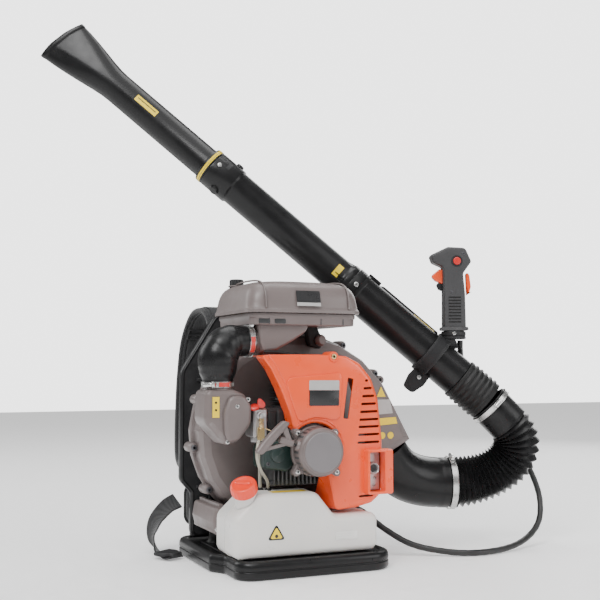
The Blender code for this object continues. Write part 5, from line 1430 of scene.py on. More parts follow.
def make_block():
    """Dark finned fan shroud and the green-black cover behind the pull handle."""
    fins = Shape()
    for i in range(13):
        x = -0.052 + i * 0.0072
        fins.puffed([vec(x, 0.1405), vec(x + 0.003, 0.1405), vec(x + 0.003, 0.17), vec(x, 0.17)],
            -0.095, -0.033, 0.0009, "XZ", 2)
    fins.puffed(filleted(rectangle(-0.056, 0.1385, 0.043, 0.148, 0.004), 3), -0.09, -0.033, 0.003, "XZ",
        3)
    fins.make("crankcase_fins", "engine_black")
    Shape().puffed(filleted([(-0.07, 0.168, 0.006), (-0.03, 0.162, 0.006), (-0.018, 0.172, 0.006),
        (-0.018, 0.21, 0.006), (-0.035, 0.215, 0.006), (-0.062, 0.214, 0.008), (-0.071, 0.2, 0.008)],
        4), -0.1, -0.045, 0.005, "XZ", 4).lathe([(0.0, 0.0), (0.013, 0.0), (0.012, 0.004),
        (0.009, 0.005), (0.0, 0.005)], (0, -1, 0), (-0.047, -0.0995, 0.19), 28).make("crankcase_side",
        "green_black", MACHINE, 40)
    bolts = [((-0.064, -0.1002, 0.207), (0, -1, 0), 0.0032), ((-0.064, -0.1002, 0.176), (0, -1, 0),
        0.0032), ((-0.03, -0.1002, 0.207), (0, -1, 0), 0.0032)]
    screws("crankcase_bolts", MACHINE, bolts, "dark_alloy", "cast_alloy")
    cylinder = Shape()
    for k in range(11):
        z = 0.244 + 0.0074 * k
        plan = filleted(rectangle(-0.0285, -0.0915, 0.0525, -0.011, 0.008), 4)
        cylinder.puffed(plan, z, z + 0.002, 0.0008, "XY", 2)
    cylinder.make("cylinder_fins", "dark_alloy")


# Filter, intake and fuel system

def plan_ring(margin, z, corner=0.022, steps=8, low=(-0.0985, -0.106), high=(0.1075, 0.087)):
    x0, y0 = low[0] + margin, low[1] + margin
    x1, y1 = high[0] - margin, high[1] - margin
    r = max(0.004, min(corner, (x1 - x0) / 2 - 0.001, (y1 - y0) / 2 - 0.001))
    return [vec(p.x, p.y, z) for p in filleted(rectangle(x0, y0, x1, y1, r), steps)]


def make_filter():
    """Domed cover with its flared skirt, label and knob; ribbed tray with funnel neck."""
    levels = [(0.4222, 0.001), (0.4224, -0.0012), (0.4275, -0.0012), (0.4292, 0.0002), (0.433, 0.0012),
        (0.44, 0.002), (0.448, 0.0032), (0.456, 0.0052), (0.462, 0.0078), (0.467, 0.0112),
        (0.4705, 0.0155), (0.4732, 0.021), (0.4754, 0.029), (0.477, 0.039), (0.4782, 0.051),
        (0.4788, 0.064), (0.4791, 0.08)]
    corner = [0.026 + 0.4 * max(0.0, m) for z, m in levels]
    outer = [plan_ring(m, z, c) for (z, m), c in zip(levels, corner)]
    inner = [plan_ring(m + 0.0024, z - 0.0022, c) for (z, m), c in zip(levels[1:], corner[1:])]
    inner[0] = plan_ring(0.003, 0.4222, 0.026)
    Shape().skin(list(reversed(inner)) + outer).make("filter_lid", "grey", "filter_cover", 30,
        replaces=["filter_cover"])
    flutes = Shape()
    for x in (-0.07, 0.08):
        line = [(x, -0.1068, 0.43), (x, -0.1052, 0.444), (x, -0.102, 0.456), (x, -0.094, 0.4672),
            (x, -0.078, 0.4742), (x, -0.052, 0.4778), (x, -0.01, 0.4792), (x, 0.03, 0.4782),
            (x, 0.06, 0.4748)]
        flutes.tube(smooth_line(line, 0.004), 0.0016, 10, (1, 0, 0))
    flutes.make("filter_lid_ribs", "grey", "filter_cover", 45)
    sticker("filter_label", "filter_cover", [(-0.016, -0.1063, 0.44), (0.027, -0.1063, 0.44),
        (0.027, -0.1008, 0.459), (-0.016, -0.1008, 0.459)], "label_black", "matte_black", 0.0011)
    sticker("filter_label_strip", "filter_cover", [(-0.016, -0.1074, 0.4335), (0.027, -0.1074, 0.4335),
        (0.027, -0.1063, 0.4392), (-0.016, -0.1063, 0.4392)], "label_grey", "starter_grey", 0.0011)
    Shape().lathe([(0.0, 0.464), (0.0105, 0.464), (0.012, 0.4655), (0.0122, 0.468), (0.0122, 0.4845),
        (0.0114, 0.4868), (0.0098, 0.4876), (0.006, 0.4874), (0.005, 0.4864), (0.0, 0.4862)], UP,
        (-0.066, 0.048, 0.0), 72, wave=lambda turn, r: 1.0 + (0.055 * cos(turn * 12) if r > 0.0105
        else 0.0)).make("filter_nut", "matte", "filter_knob", 40, replaces=["filter_knob"])
    Shape().lathe([(0.006, 0.0), (0.015, 0.0), (0.015, 0.001), (0.0135, 0.0022), (0.006, 0.0026)], UP,
        (-0.066, 0.048, 0.4745), 40).make("filter_nut_seat", "grey", "filter_cover", 40)
    tray = Shape()
    rows = [(0.402, 0.013), (0.4022, 0.0095), (0.4035, 0.0082), (0.413, 0.008), (0.415, 0.0066),
        (0.419, 0.0062), (0.4214, 0.0066), (0.4219, 0.008)]
    tray.skin([plan_ring(m, z, 0.018) for z, m in rows])
    tray.make("filter_base", "grey", MACHINE, 35, replaces=["filter_tray"])
    # Thin dark strips on the tray front: painted shade in the gaps between its parts.
    gap_shade = Shape()
    for x, wide in ((0.031, 0.0016), (0.072, 0.0016), (-0.062, 0.0012)):
        gap_shade.skin([[vec(x, -0.0984, z), vec(x + wide, -0.0984, z), vec(x + wide, -0.096, z),
            vec(x, -0.096, z)] for z in (0.403, 0.4148)])
    gap_shade.make("filter_base_gaps", "engine_black", MACHINE, 35)
    # Two dark patches on the tray front: painted shade in its recesses.
    dark = Shape()
    for x in (-0.08, -0.052):
        dark.puffed(filleted(rectangle(x, 0.4045, x + 0.02, 0.412, 0.002), 3), -0.0975, -0.0985, 0.0003,
            "XZ", 2)
    dark.make("filter_base_recess", "engine_black", MACHINE, 35)
    Shape().puffed(filleted([(-0.077, 0.408, 0.007), (-0.073, 0.372, 0.008), (-0.066, 0.356, 0.007),
        (-0.045, 0.3595, 0.02), (-0.014, 0.376, 0.03), (0.008, 0.39, 0.02), (0.02, 0.408, 0.007)], 6),
        -0.089, -0.027, 0.0065, "XZ", 6).lathe([(0.0, -0.096), (0.0202, -0.096), (0.0206, -0.095),
        (0.0206, -0.07), (0.0225, -0.068), (0.0225, -0.06), (0.0, -0.06)], (1, 0, 0),
        (0, -0.061, 0.376), 40).puffed(filleted(rectangle(-0.02, 0.005, 0.06, 0.07, 0.006), 4), 0.3915,
        0.403, 0.002, "XY", 3).make("filter_funnel", "grey", MACHINE, 40)
    Shape().puffed(filleted([(0.042, 0.37, 0.003), (0.062, 0.364, 0.004), (0.068, 0.378, 0.004),
        (0.056, 0.4025, 0.002), (0.036, 0.4025, 0.002)], 4), -0.03, -0.012, 0.002, "XZ",
        3).make("filter_bracket", "matte")
    Shape().lathe([(0.0, 0.0), (0.01, 0.0), (0.0104, 0.0012), (0.01, 0.006), (0.0075, 0.0095),
        (0.0, 0.0108)], (0.2, -1, 0.1), (0.06, -0.03, 0.379), 28).make("filter_bracket_nut", "grey",
        MACHINE, 40)


def make_intake():
    """Bulging rubber elbow with its clamps, the air box and the carburettor."""
    centre = [vec(-0.1375, -0.061, 0.2998), vec(-0.1375, -0.061, 0.32), vec(-0.1375, -0.061, 0.34)]
    for i in range(1, 13):
        a = pi / 2 * i / 12
        centre.append(vec(-0.1015 - 0.036 * cos(a), -0.061, 0.34 + 0.036 * sin(a)))
    centre += [vec(-0.095, -0.061, 0.376), vec(-0.0785, -0.061, 0.376)]
    line = smooth_line(centre, 0.0022)
    stops = [0.025, 0.0252, 0.03, 0.0322, 0.033, 0.033, 0.0318, 0.0292, 0.0258, 0.0252, 0.025]
    radii = []
    for i in range(len(line)):
        t = i / (len(line) - 1) * (len(stops) - 1)
        k = min(int(t), len(stops) - 2)
        u = t - k
        u = u * u * (3 - 2 * u)
        r = stops[k] * (1 - u) + stops[k + 1] * u
        share = i / (len(line) - 1)
        r -= 0.0016 * exp(-((share - 0.5) / 0.035) ** 2)
        radii.append(r)
    Shape().tube(line, radii, 56, (0, 1, 0)).make("intake_boot", "hose", MACHINE, 50,
        replaces=["intake_elbow"])
    worm_clamp("intake_clamp_low", MACHINE, (-0.1375, -0.061, 0.3045), UP, 0.0256, 0.0092,
        (-0.75, -0.65, 0), (35, 75))
    worm_clamp("intake_clamp_high", MACHINE, (-0.085, -0.061, 0.376), (1, 0, 0), 0.0256, 0.0092,
        (0, -0.25, 1), (62, 120))
    Shape().puffed(filleted([(-0.1665, 0.2965, 0.01), (-0.1685, 0.245, 0.02), (-0.144, 0.219, 0.01),
        (-0.133, 0.2075, 0.009), (-0.112, 0.212, 0.016), (-0.09, 0.238, 0.02), (-0.0885, 0.272, 0.016),
        (-0.1, 0.289, 0.012), (-0.118, 0.2965, 0.012)], 7), -0.0905, -0.028, 0.0085, "XZ",
        6).lathe([(0.0, 0.29), (0.0245, 0.29), (0.0245, 0.2985), (0.0235, 0.2998), (0.0, 0.2998)], UP,
        (-0.1375, -0.061, 0.0), 48).make("air_box_shell", "grey", MACHINE, 40, replaces=["air_box"])
    lid = Shape()
    plan = filleted([(-0.128, 0.288, 0.014), (-0.139, 0.26, 0.03), (-0.137, 0.226, 0.016),
        (-0.13, 0.21, 0.008), (-0.112, 0.2145, 0.018), (-0.0915, 0.24, 0.022), (-0.0905, 0.27, 0.018),
        (-0.102, 0.287, 0.014)], 7)
    lid.puffed(plan, -0.086, -0.0985, 0.0075, "XZ", 6)
    lid.puffed(inset(plan, -0.0012), -0.0862, -0.0892, 0.0006, "XZ", 3)
    lid.make("air_box_lid", "grey", MACHINE, 40)
    screws("air_box_screws", MACHINE, [((-0.1167, -0.0983, 0.2697), (0, -1, 0), 0.0034),
        ((-0.0965, -0.093, 0.2805), (0, -1, 0), 0.0038), ((-0.131, -0.093, 0.213), (0, -1, 0), 0.0034)])
    sticker("air_box_sticker", MACHINE, [(-0.156, -0.0908, 0.252), (-0.1445, -0.0908, 0.252),
        (-0.1445, -0.0908, 0.285), (-0.156, -0.0908, 0.285)], "label_yellow", "tank_white", 0.0004)
    dots = Shape()
    for z in (0.264, 0.276):
        dots.lathe([(0.0, 0.0), (0.0019, 0.0), (0.0019, 0.0003), (0.0, 0.0003)], (0, -1, 0),
            (-0.1502, -0.0914, z), 16)
    dots.make("air_box_dots", "label_black")
    Shape().lathe([(0.0, -0.06), (0.015, -0.06), (0.0165, -0.0612), (0.0165, -0.065), (0.015, -0.066),
        (0.014, -0.07), (0.014, -0.078), (0.0158, -0.08), (0.0158, -0.0848), (0.0, -0.0848)], (1, 0, 0),
        (0, -0.069, 0.242), 32).lathe([(0.0, 0.0), (0.0092, 0.0), (0.0096, 0.0015), (0.0096, 0.0085),
        (0.0076, 0.01), (0.0, 0.01)], (0, 0, -1), (-0.073, -0.07, 0.219), 28).lathe([(0.0, 0.0),
        (0.007, 0.0), (0.007, 0.003), (0.0048, 0.0042), (0.0048, 0.01), (0.0, 0.011)], (0, -1, 0),
        (-0.073, -0.0895, 0.254), 24).lathe([(0.0, 0.0), (0.0026, 0.0), (0.0026, 0.008),
        (0.0032, 0.009), (0.0032, 0.01), (0.0022, 0.012), (0.0, 0.0122)], (0.2, -0.5, -0.9),
        (-0.072, -0.085, 0.224), 16).make("carburettor_parts", "alloy")
    spring = []
    for i in range(140):
        a = i * 0.42
        spring.append(vec(-0.073 + 0.0042 * cos(a), -0.0945 + 0.002 * sin(a), 0.232 + 0.00016 * i))
    wire = Shape().tube(spring, 0.0005, 6)
    wire.tube(smooth_line([(-0.066, -0.093, 0.233), (-0.056, -0.098, 0.228), (-0.048, -0.096, 0.218),
        (-0.045, -0.08, 0.206)], 0.002), 0.0007, 8)
    wire.make("throttle_spring", "gold", MACHINE, 50)
    Shape().lathe([(0.0, 0.0), (0.008, 0.0), (0.0086, 0.001), (0.0086, 0.004), (0.007, 0.0055),
        (0.0, 0.006)], (-0.25, -0.4, 1), (-0.084, -0.09, 0.2655),
        28).make("choke_cap", "red", MACHINE, 40)
    flange = Shape()
    plan = filleted(rectangle(-0.088, 0.229, -0.04, 0.262, 0.006), 4)
    flange.puffed(plan, -0.059, -0.045, 0.002, "YZ", 3)
    flange.puffed(inset(plan, -0.003), -0.044, -0.031, 0.003, "YZ", 3)
    flange.make("intake_flange", "matte")


def make_tank():
    """Blow-moulded tank with its parting line, stickers, cap and second line."""
    corners = [(-0.131, 0.0303, 0.015), (0.123, 0.0303, 0.015), (0.123, 0.092, 0.013),
        (0.044, 0.092, 0.016), (0.012, 0.131, 0.02), (-0.092, 0.131, 0.016), (-0.131, 0.094, 0.018)]
    outline = filleted(corners, 7)
    Shape().puffed(outline, -0.128, -0.032, 0.0115, "XZ", 7).lathe([(0.0, -0.024), (0.019, -0.024),
        (0.018, -0.011), (0.0168, -0.004), (0.0165, 0.0016), (0.0, 0.0016)], CAP_AXIS, CAP_SEAT,
        40).make("tank_shell", "tank", MACHINE, 40, replaces=["fuel_tank"])
    seam = Shape()
    lift = LIFTS["XZ"]
    edge = inset(outline, 0.0006)
    over = inset(outline, -0.0011)
    seam.skin([[lift(a, -0.0815), lift(b, -0.081), lift(b, -0.0802), lift(a, -0.0797)] for a,
        b in zip(edge, over)], loop=True)
    seam.make("tank_seam", "tank", MACHINE, 45)
    plaque = Shape()
    plaque.puffed(filleted(rectangle(0.0433, 0.0515, 0.0831, 0.065, 0.001), 3), -0.1277, -0.1287,
        0.0004, "XZ", 3)
    for k in range(3):
        z = 0.054 + 0.0038 * k
        plaque.puffed([vec(0.0455, z), vec(0.07 + 0.004 * (k % 2), z),
            vec(0.07 + 0.004 * (k % 2), z + 0.0014), vec(0.0455, z + 0.0014)], -0.1286, -0.1291, 0.0002,
            "XZ", 2)
    plaque.make("tank_plaque", "label_white")

    def triangle(name, size, look, y, slot):
        x, z = -0.0605, 0.0672
        plan = filleted([(x - size * 0.95, z - size * 0.52, size * 0.16), (x + size * 0.95, z - size
            * 0.52, size * 0.16), (x, z + size * 1.04, size * 0.16)], 4)
        Shape().puffed(plan, y, y - 0.0004, 0.0001, "XZ", 2).make(name, look, slot=slot)

    triangle("tank_triangle_edge", 0.0162, "label_black", -0.1279, "matte_black")
    triangle("tank_triangle", 0.0116, "label_yellow", -0.1284, "tank_white")
    Shape().lathe([(0.0, 0.0), (0.0028, 0.0), (0.0028, 0.0003), (0.0, 0.0003)], (0, -1, 0),
        (-0.0605, -0.1287, 0.065), 20).make("tank_triangle_dot", "label_black")
    sticker("tank_sticker", MACHINE, rectangle(-0.06, -0.112, -0.002, -0.096, 0.1312), "label_yellow",
        "tank_white", 0.0002)
    cap = Shape()
    cap.lathe([(0.0, 0.0032), (0.0185, 0.0032), (0.0208, 0.0038), (0.0214, 0.0052), (0.0215, 0.007),
        (0.0215, 0.016), (0.0211, 0.0182), (0.0198, 0.02), (0.0175, 0.0208), (0.016, 0.0206),
        (0.015, 0.02), (0.0, 0.0202)], CAP_AXIS, CAP_SEAT, 120, wave=lambda turn, r: 1.0 - (0.028
        * max(0.0, cos(turn * 20)) if r > 0.0209 else 0.0))
    bar = CAP_SEAT + CAP_AXIS * 0.0202
    side = CAP_AXIS.cross(UP).normalized()
    up = CAP_AXIS.cross(side)
    rings = []
    for h, shrink in ((-0.001, 1.0), (0.0026, 1.0), (0.0036, 0.88), (0.0038, 0.7)):
        rings.append([bar + side * (0.013 * shrink * a) + up * (0.003 * shrink * b) + CAP_AXIS * h
            for a, b in ((1, 0.5), (0.85, 1), (-0.85, 1), (-1, 0.5), (-1, -0.5), (-0.85, -1),
            (0.85, -1), (1, -0.5))])
    cap.skin(rings)
    cap.make("tank_cap", "cap_orange", "fuel_cap", 42, replaces=["fuel_cap"])
    Shape().lathe([(0.0168, 0.0002), (0.0192, 0.0002), (0.0192, 0.002), (0.0168, 0.002)], CAP_AXIS,
        CAP_SEAT, 48).make("tank_neck_ring", "tank", MACHINE, 40)
    grommet = Shape()
    for x, y in ((-0.066, -0.07), (-0.054, -0.076)):
        grommet.lathe([(0.0, 0.0), (0.006, 0.0), (0.0062, 0.0012), (0.0048, 0.0028), (0.003, 0.0052),
            (0.0, 0.0054)], UP, (x, y, 0.1309), 24)
    grommet.make("tank_grommets", "rubber", MACHINE, 40)
    feed = smooth_line([(-0.066, -0.07, 0.133), (-0.068, -0.074, 0.15), (-0.07, -0.078, 0.18),
        (-0.07, -0.079, 0.2175)], 0.004)
    Shape().tube(feed, 0.0028, 14).make("fuel_feed", "fuel", MACHINE, 45, replaces=["fuel_line"])
    back = smooth_line([(-0.054, -0.076, 0.133), (-0.06, -0.086, 0.148), (-0.076, -0.096, 0.168),
        (-0.082, -0.097, 0.19), (-0.078, -0.092, 0.21), (-0.074, -0.086, 0.219)], 0.004)
    Shape().tube(back, 0.0027, 14).make("fuel_return", "fuel", MACHINE, 45)


# Base and bracket

BASE_CORNERS = [(-.128, -.145, .032), (.15, -.145, .045), (.15, .15, .03), (-.145, .15, .03),
    (-.145, -.045, .012), (-.128, -.072, .012)]


def make_base():
    """Glossy tray with a rolled rim and a groove round its side."""
    outline = filleted(BASE_CORNERS, 9)
    shape = Shape()
    levels = [(0.0, 0.006), (0.0004, 0.0034), (0.0016, 0.0016), (0.004, 0.0003), (0.007, 0.0),
        (0.012, 0.0002), (0.0128, 0.0013), (0.0138, 0.0016), (0.0148, 0.0013), (0.0156, 0.0002),
        (0.02, 0.0), (0.0245, 0.0008), (0.0278, 0.0028), (0.0294, 0.0056), (0.0299, 0.0088),
        (0.0294, 0.0118), (0.0282, 0.014), (0.0268, 0.015)]
    lift = LIFTS["XY"]
    rings = [[lift(p, z) for p in inset(outline, m)] for z, m in levels]
    shape.skin(rings)
    shape.make("base_shell", "gloss", MACHINE, 40, replaces=["base_tray"])
    Shape().puffed(filleted([(-.118, -.128, .02), (.128, -.128, .03), (.128, .1, .02),
        (-.118, .1, .02)], 5), 0.024, 0.0284, 0.0015, "XY", 3).make("base_deck", "gloss")
    posts = Shape()
    for x, y in ((-0.095, -0.006), (0.1, -0.006), (-0.095, 0.068), (0.1, 0.068)):
        posts.lathe([(0.0, 0.0223), (0.0168, 0.0223), (0.0172, 0.024), (0.0168, 0.029), (0.014, 0.032),
            (0.0122, 0.038), (0.0118, 0.042), (0.0124, 0.047), (0.0145, 0.0525), (0.016, 0.0545),
            (0.016, 0.058), (0.0, 0.0585)], UP, (x, y, 0.0), 40)
    posts.make("rubber_posts", "rubber", MACHINE, 40, replaces=["rubber_mount_left",
        "rubber_mount_right"])


def make_bracket():
    """Cast legs, gusset and screws on the carried-over bracket."""
    paint("support_bracket", "grey")
    Shape().puffed(filleted([(-.129, .06, .004), (-.1, .06, .004), (-.096, .076, .006),
        (-.105, .096, .01), (-.116, .1, .006), (-.129, .1, .006), (-.133, .076, .006)], 5), -0.03, 0.09,
        0.006, "XZ", 5).puffed(filleted([(.122, .06, .004), (.122, .096, .006), (.108, .096, .01),
        (.098, .076, .006), (.098, .06, .004)], 5), -0.026, 0.09, 0.006, "XZ",
        5).puffed(filleted(rectangle(-.129, .056, .122, .064, .003), 4), -0.03, 0.09, 0.003, "XZ",
        4).make("bracket_legs", "grey", MACHINE, 40)
    screws("bracket_screws", MACHINE, [((-0.1105, -0.03, 0.0905), (0, -1, 0), 0.0048),
        ((-0.125, -0.03, 0.065), (0, -1, 0), 0.0048), ((0.112, -0.0262, 0.088), (0, -1, 0), 0.0042)])


# Harness

def swell(obj, voxel, pressure, cap, frames=20):
    """Let a closed shape swell as padded cloth, holding each point within cap of where it was."""
    scene = bpy.context.scene
    remesh = obj.modifiers.new("skin", "REMESH")
    remesh.mode = "VOXEL"
    remesh.voxel_size = voxel
    graph = bpy.context.evaluated_depsgraph_get()
    obj.data = bpy.data.meshes.new_from_object(obj.evaluated_get(graph))
    obj.modifiers.remove(remesh)
    before = [v.co.copy() for v in obj.data.vertices]
    cloth = obj.modifiers.new("cloth", "CLOTH")
    cloth.settings.use_pressure = True
    cloth.settings.uniform_pressure_force = pressure
    cloth.settings.effector_weights.gravity = 0.0
    cloth.settings.quality = 4
    for frame_number in range(1, frames + 1):
        scene.frame_set(frame_number)
    graph = bpy.context.evaluated_depsgraph_get()
    done = bpy.data.meshes.new_from_object(obj.evaluated_get(graph))
    obj.modifiers.remove(cloth)
    scene.frame_set(1)
    for vert, start in zip(done.vertices, before):
        move = vert.co - start
        if move.length > cap:
            vert.co = start + move.normalized() * cap
    obj.data = done
    obj.data.shade_smooth()
    fine = obj.modifiers.new("fine", "SUBSURF")
    fine.levels = 1
    fine.render_levels = 1
    graph = bpy.context.evaluated_depsgraph_get()
    obj.data = bpy.data.meshes.new_from_object(obj.evaluated_get(graph))
    obj.modifiers.remove(fine)


def press(obj, rule):
    """Move each point of a pad by rule(point) metres along Y."""
    for vert in obj.data.vertices:
        vert.co.y -= rule(vert.co)


def dent(distance, width, depth):
    return depth * exp(-(distance / width) ** 2)


def quilt(point):
    """Diamond channels sewn through the lumbar pad."""
    if point.y < 0.15:
        return 0.0
    a = (point.x + point.z) % 0.03
    b = (point.x - point.z) % 0.03
    lines = dent(min(a, 0.03 - a), 0.0026, 0.003) + dent(min(b, 0.03 - b), 0.0026, 0.003)
    edge = min(1.0, (0.128 - abs(point.x)) / 0.01, (point.z - 0.046) / 0.008, (0.124 - point.z) / 0.008)
    return min(lines, 0.004) * max(0.0, edge)


def channels(point):
    """Three vertical channels and a cross seam sewn through the back pad."""
    if point.y < 0.14:
        return 0.0
    down = sum(dent(point.x - x, 0.0032, 0.0034) for x in (-0.042, 0.042))
    across = sum(dent(point.z - z, 0.003, 0.003) for z in (0.235, 0.305))
    return min(down + across, 0.0038)


def make_pads():
    """Back pad and quilted lumbar pad."""
    outline = filleted([(-0.108, 0.17, 0.018), (0.108, 0.17, 0.018), (0.108, 0.315, 0.03),
        (0.058, 0.373, 0.018), (-0.058, 0.373, 0.018), (-0.108, 0.315, 0.03)], 6)
    back = Shape().puffed(outline, 0.131, 0.1465, 0.0065, "XZ", 4).make("back_cushion", "mesh", MACHINE,
        60, replaces=["back_pad"])
    swell(back, 0.0045, 4.0, 0.006)
    press(back, channels)
    outline = filleted(rectangle(-0.126, 0.048, 0.126, 0.122, 0.018), 6)
    low = Shape().puffed(outline, 0.1312, 0.168, 0.012, "XZ", 5).make("lumbar_cushion", "mesh", MACHINE,
        60, replaces=["lumbar_pad"])
    swell(low, 0.0045, 4.0, 0.006)
    press(low, quilt)
    piping = Shape()
    for plan, y in ((filleted([(-0.1085, 0.1695, 0.018), (0.1085, 0.1695, 0.018),
            (0.1085, 0.3155, 0.03), (0.0583, 0.3735, 0.018), (-0.0583, 0.3735, 0.018),
            (-0.1085, 0.3155, 0.03)], 6), 0.1385), (filleted(rectangle(-0.1265, 0.0475, 0.1265, 0.1225,
            0.018), 6), 0.1495)):
        line = [vec(p.x, y, p.y) for p in plan]
        rings = []
        for i, p in enumerate(line):
            way = (line[(i + 1) % len(line)] - line[i - 1]).normalized()
            side = way.cross(vec(0, 1, 0))
            rings.append([p + side * (0.003 * cos(tau * j / 10)) + vec(0, 1, 0)
                * (0.003 * sin(tau * j / 10)) for j in range(10)])
        piping.skin(rings, loop=True)
    piping.make("cushion_piping", "webbing", MACHINE, 60)


def ribbon(points, wides, profile, shape=None):
    """A strap along points: wides are the directions of its width, profile its (across, out) section."""
    shape = shape or Shape()
    rings = []
    for point, way, wide in zip(points, tangents(points), wides):
        wide = (wide - way * wide.dot(way)).normalized()
        out = wide.cross(way).normalized()
        rings.append([point + wide * a + out * b for a, b in profile])
    return shape.skin(rings)


def strap_profile(half, thick, grooves):
    """A crowned padded section with sewn grooves on both faces."""
    top = []
    steps = 36
    for i in range(steps + 1):
        a = -half + 2 * half * i / steps
        edge = sqrt(max(0.0, 1 - (abs(a) / half) ** 6))
        b = thick / 2 * (0.35 + 0.65 * edge) if edge > 0 else 0.0
        b -= sum(dent(a - g, 0.0016, 0.0022) for g in grooves)
        top.append((a, b))
    low = [(a, -b) for a, b in reversed(top)]
    return top + low


SHOULDER = [(.062, .14, .405), (.066, .17, .437), (.074, .215, .432), (.082, .248, .385),
    (.086, .26, .32), (.09, .256, .255), (.096, .238, .196), (.104, .202, .158), (.108, .145, .148)]


def make_straps():
    """Padded shoulder straps with sewn grooves, load webbing and slides."""
    for side, name in ((-1.0, "left"), (1.0, "right")):
        stops = [(side * x, y, z) for x, y, z in SHOULDER]
        line = smooth_line(stops, 0.005)
        wides = [vec(1, 0, 0)] * len(line)
        pad = ribbon(line[2:-2], wides[2:-2], strap_profile(0.0255, 0.0115,
            (-0.0195, -0.0115, 0.0115, 0.0195)))
        made = pad.make("shoulder_pad_" + name, "strap", MACHINE, 60,
            replaces=["shoulder_strap_" + name], slot="harness_fabric")
        ways = tangents(line)
        count = len(line)
        outer = []
        for i, (p, w) in enumerate(zip(line, ways)):
            out = vec(1, 0, 0).cross(w).normalized()
            outer.append(p + out * (0.0064 + (0.0008 if i % 9 == 0 else 0.0)))
        flat = [(-0.0125, 0.0), (-0.0118, 0.0008), (0.0118, 0.0008), (0.0125, 0.0), (0.0118, -0.0008),
            (-0.0118, -0.0008)]
        web = ribbon(outer[3:-3], wides[3:-3], flat)
        inner = []
        for p, w in zip(line, ways):
            out = vec(1, 0, 0).cross(w).normalized()
            inner.append(p - out * 0.0064)
        ribbon(inner[3:-3], wides[3:-3], flat, web)
        web.make("shoulder_web_" + name, "webbing", MACHINE, 60)
        slides = Shape()
        for share in (0.3, 0.72):
            k = int(count * share)
            p, w = line[k], ways[k]
            out = vec(1, 0, 0).cross(w).normalized()
            for sign in (-1.0, 1.0):
                spot = p + out * (0.0078 * sign)
                for offset in (-0.0095, 0.0, 0.0095):
                    bar = spot + w * offset
                    slides.tube([bar - vec(0.0165, 0, 0), bar - vec(0.006, 0, 0), bar
                        + vec(0.006, 0, 0), bar + vec(0.0165, 0, 0)], 0.0019, 10, w)
                for edge in (-0.016, 0.016):
                    slides.tube([spot + vec(edge, 0, 0) - w * 0.0098, spot + vec(edge, 0, 0), spot
                        + vec(edge, 0, 0) + w * 0.0098], 0.0021, 10, (1, 0, 0))
        slides.make("shoulder_slides_" + name, "matte", MACHINE, 50)


BELT_LEFT = [(-.137, .164, .09), (-.157, .163, .08), (-.18, .154, .058), (-.19, .136, .033),
    (-.186, .114, .013), (-.176, .093, .0058), (-.165, .074, .005)]
BELT_RIGHT = [(.137, .164, .09), (.157, .166, .08), (.178, .172, .06), (.186, .182, .038),
    (.18, .196, .018), (.163, .212, .0074), (.142, .224, .0058)]


def make_belts():
    """Waist belt halves with sewn edges and the two halves of their buckle."""
    for stops, name in ((BELT_LEFT, "left"), (BELT_RIGHT, "right")):
        line = smooth_line(stops, 0.003)
        count = len(line)
        first, last = vec(0.0, 0.7, 0.7).normalized(), vec(0.0, 1.0, 0.0)
        wides = [first.lerp(last, i / (count - 1)) for i in range(count)]
        half = 0.0178
        profile = [(-half, 0.0), (-half + 0.001, 0.0014), (-half + 0.004, 0.0014),
            (-half + 0.0046, 0.001), (half - 0.0046, 0.001), (half - 0.004, 0.0014),
            (half - 0.001, 0.0014), (half, 0.0), (half - 0.001, -0.0014), (half - 0.004, -0.0014),
            (half - 0.0046, -0.001), (-half + 0.0046, -0.001), (-half + 0.004, -0.0014),
            (-half + 0.001, -0.0014)]
        ribbon(line, wides, profile).make("belt_" + name, "webbing", MACHINE, 60,
            replaces=["waist_belt_" + name])
        ways = tangents(line)
        k = count - 2
        end, way, wide = line[k], ways[k], wides[k]
        wide = (wide - way * wide.dot(way)).normalized()
        up = wide.cross(way).normalized()
        if up.z < 0:
            up = -up
        base = end + up * 0.0016
        clip = Shape()
        plan = [(-0.019, -0.02), (0.019, -0.02), (0.0205, -0.006), (0.0185, 0.004), (0.012, 0.008),
            (0.011, 0.018), (-0.011, 0.018), (-0.012, 0.008), (-0.0185, 0.004), (-0.0205, -0.006)]
        rings = []
        for h, shrink in ((0.0, 0.94), (0.0012, 1.0), (0.0052, 1.0), (0.0066, 0.93), (0.007, 0.8)):
            rings.append([base + wide * (a * shrink) + way * (b * shrink
                * (1.0 if name == "left" else 0.8) - 0.012) + up * h for a, b in plan])
        clip.skin(rings)
        for a in (-0.013, 0.013):
            clip.tube([base + wide * a - way * 0.034 + up * 0.003, base + wide * a - way * 0.03 + up
                * 0.0034, base + wide * a - way * 0.022 + up * 0.0034], 0.0022, 10)
        clip.tube([base - wide * 0.015 - way * 0.034 + up * 0.003, base - way * 0.034 + up * 0.0032,
            base + wide * 0.015 - way * 0.034 + up * 0.003], 0.0022, 10, way)
        clip.make("belt_buckle_" + name, "matte", MACHINE, 45)


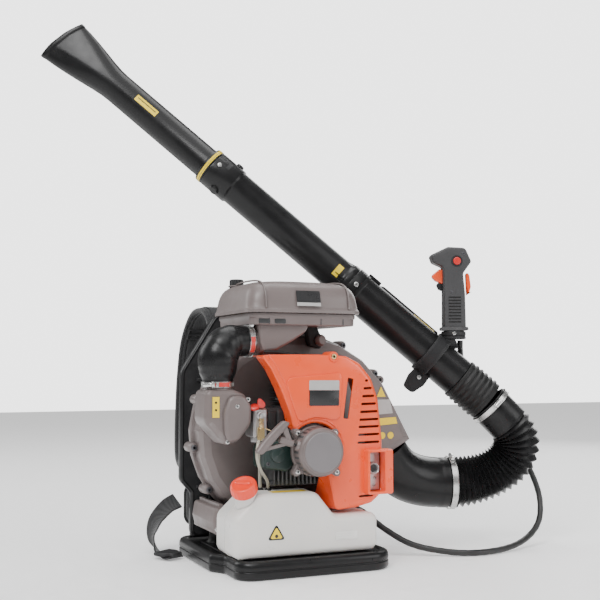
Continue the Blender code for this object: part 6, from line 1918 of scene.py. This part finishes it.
def make_frame():
    """Rolled rim, ribs and bolts on the carried-over back frame."""
    paint("back_frame", "matte")
    plan = filleted([(-.123, .034, .01), (.123, .034, .01), (.123, .111, .012), (.143, .133, .012),
        (.143, .324, .03), (.077, .429, .026), (-.077, .429, .026), (-.143, .324, .03),
        (-.143, .133, .012), (-.123, .111, .012)], 6)
    rim = Shape()
    line = [vec(p.x, 0.121, p.y) for p in plan]
    rings = []
    for i, p in enumerate(line):
        way = (line[(i + 1) % len(line)] - line[i - 1]).normalized()
        side = way.cross(vec(0, 1, 0))
        rings.append([p + side * (0.0045 * cos(tau * j / 14)) + vec(0, 1, 0)
            * (0.0102 * sin(tau * j / 14)) for j in range(14)])
    rim.skin(rings, loop=True)
    rim.make("frame_rim", "gloss", MACHINE, 60)
    ribs = Shape()
    for x in (-0.092, -0.046, 0.046, 0.092):
        ribs.puffed([vec(x - 0.003, 0.045), vec(x + 0.003, 0.045), vec(x + 0.0022, 0.365),
            vec(x - 0.0022, 0.365)], 0.113, 0.106, 0.0014, "XZ", 3)
    for z in (0.12, 0.215, 0.31):
        ribs.puffed([vec(-0.118, z - 0.0028), vec(0.118, z - 0.0028), vec(0.118, z + 0.0028),
            vec(-0.118, z + 0.0028)], 0.113, 0.107, 0.0014, "XZ", 3)
    ribs.make("frame_ribs", "matte", MACHINE, 45)
    handle = Shape()
    hole = filleted(rectangle(-0.044, 0.386, 0.044, 0.411, 0.012), 6)
    rings = []
    for i, p in enumerate(hole):
        way = (hole[(i + 1) % len(hole)] - hole[i - 1]).normalized()
        side = vec(way.y, -way.x) * 0.0034
        spot = vec(p.x, 0.121, p.y)
        rings.append([spot + vec(side.x, 0, side.y) * cos(tau * j / 12) + vec(0, 0.01, 0)
            * sin(tau * j / 12) for j in range(12)])
    handle.skin(rings, loop=True)
    handle.make("frame_hand_rim", "gloss", MACHINE, 60)
    screws("frame_bolts", MACHINE, [((x, 0.1302, z), (0, 1, 0), 0.0052) for x in (-0.134, 0.134)
        for z in (0.15, 0.235, 0.315)])


# Build

make_camera()
make_cable()
make_studio()
make_hose()
make_sleeve()
make_pipes()
make_nozzle()
make_clamp()
make_grip()
make_triggers()
make_outlet()
make_volute()
paint_carried()
make_engine_cover()
make_muffler()
make_starter()
make_block()
make_filter()
make_intake()
make_tank()
make_base()
make_bracket()
make_frame()
make_straps()
make_belts()
make_pads()
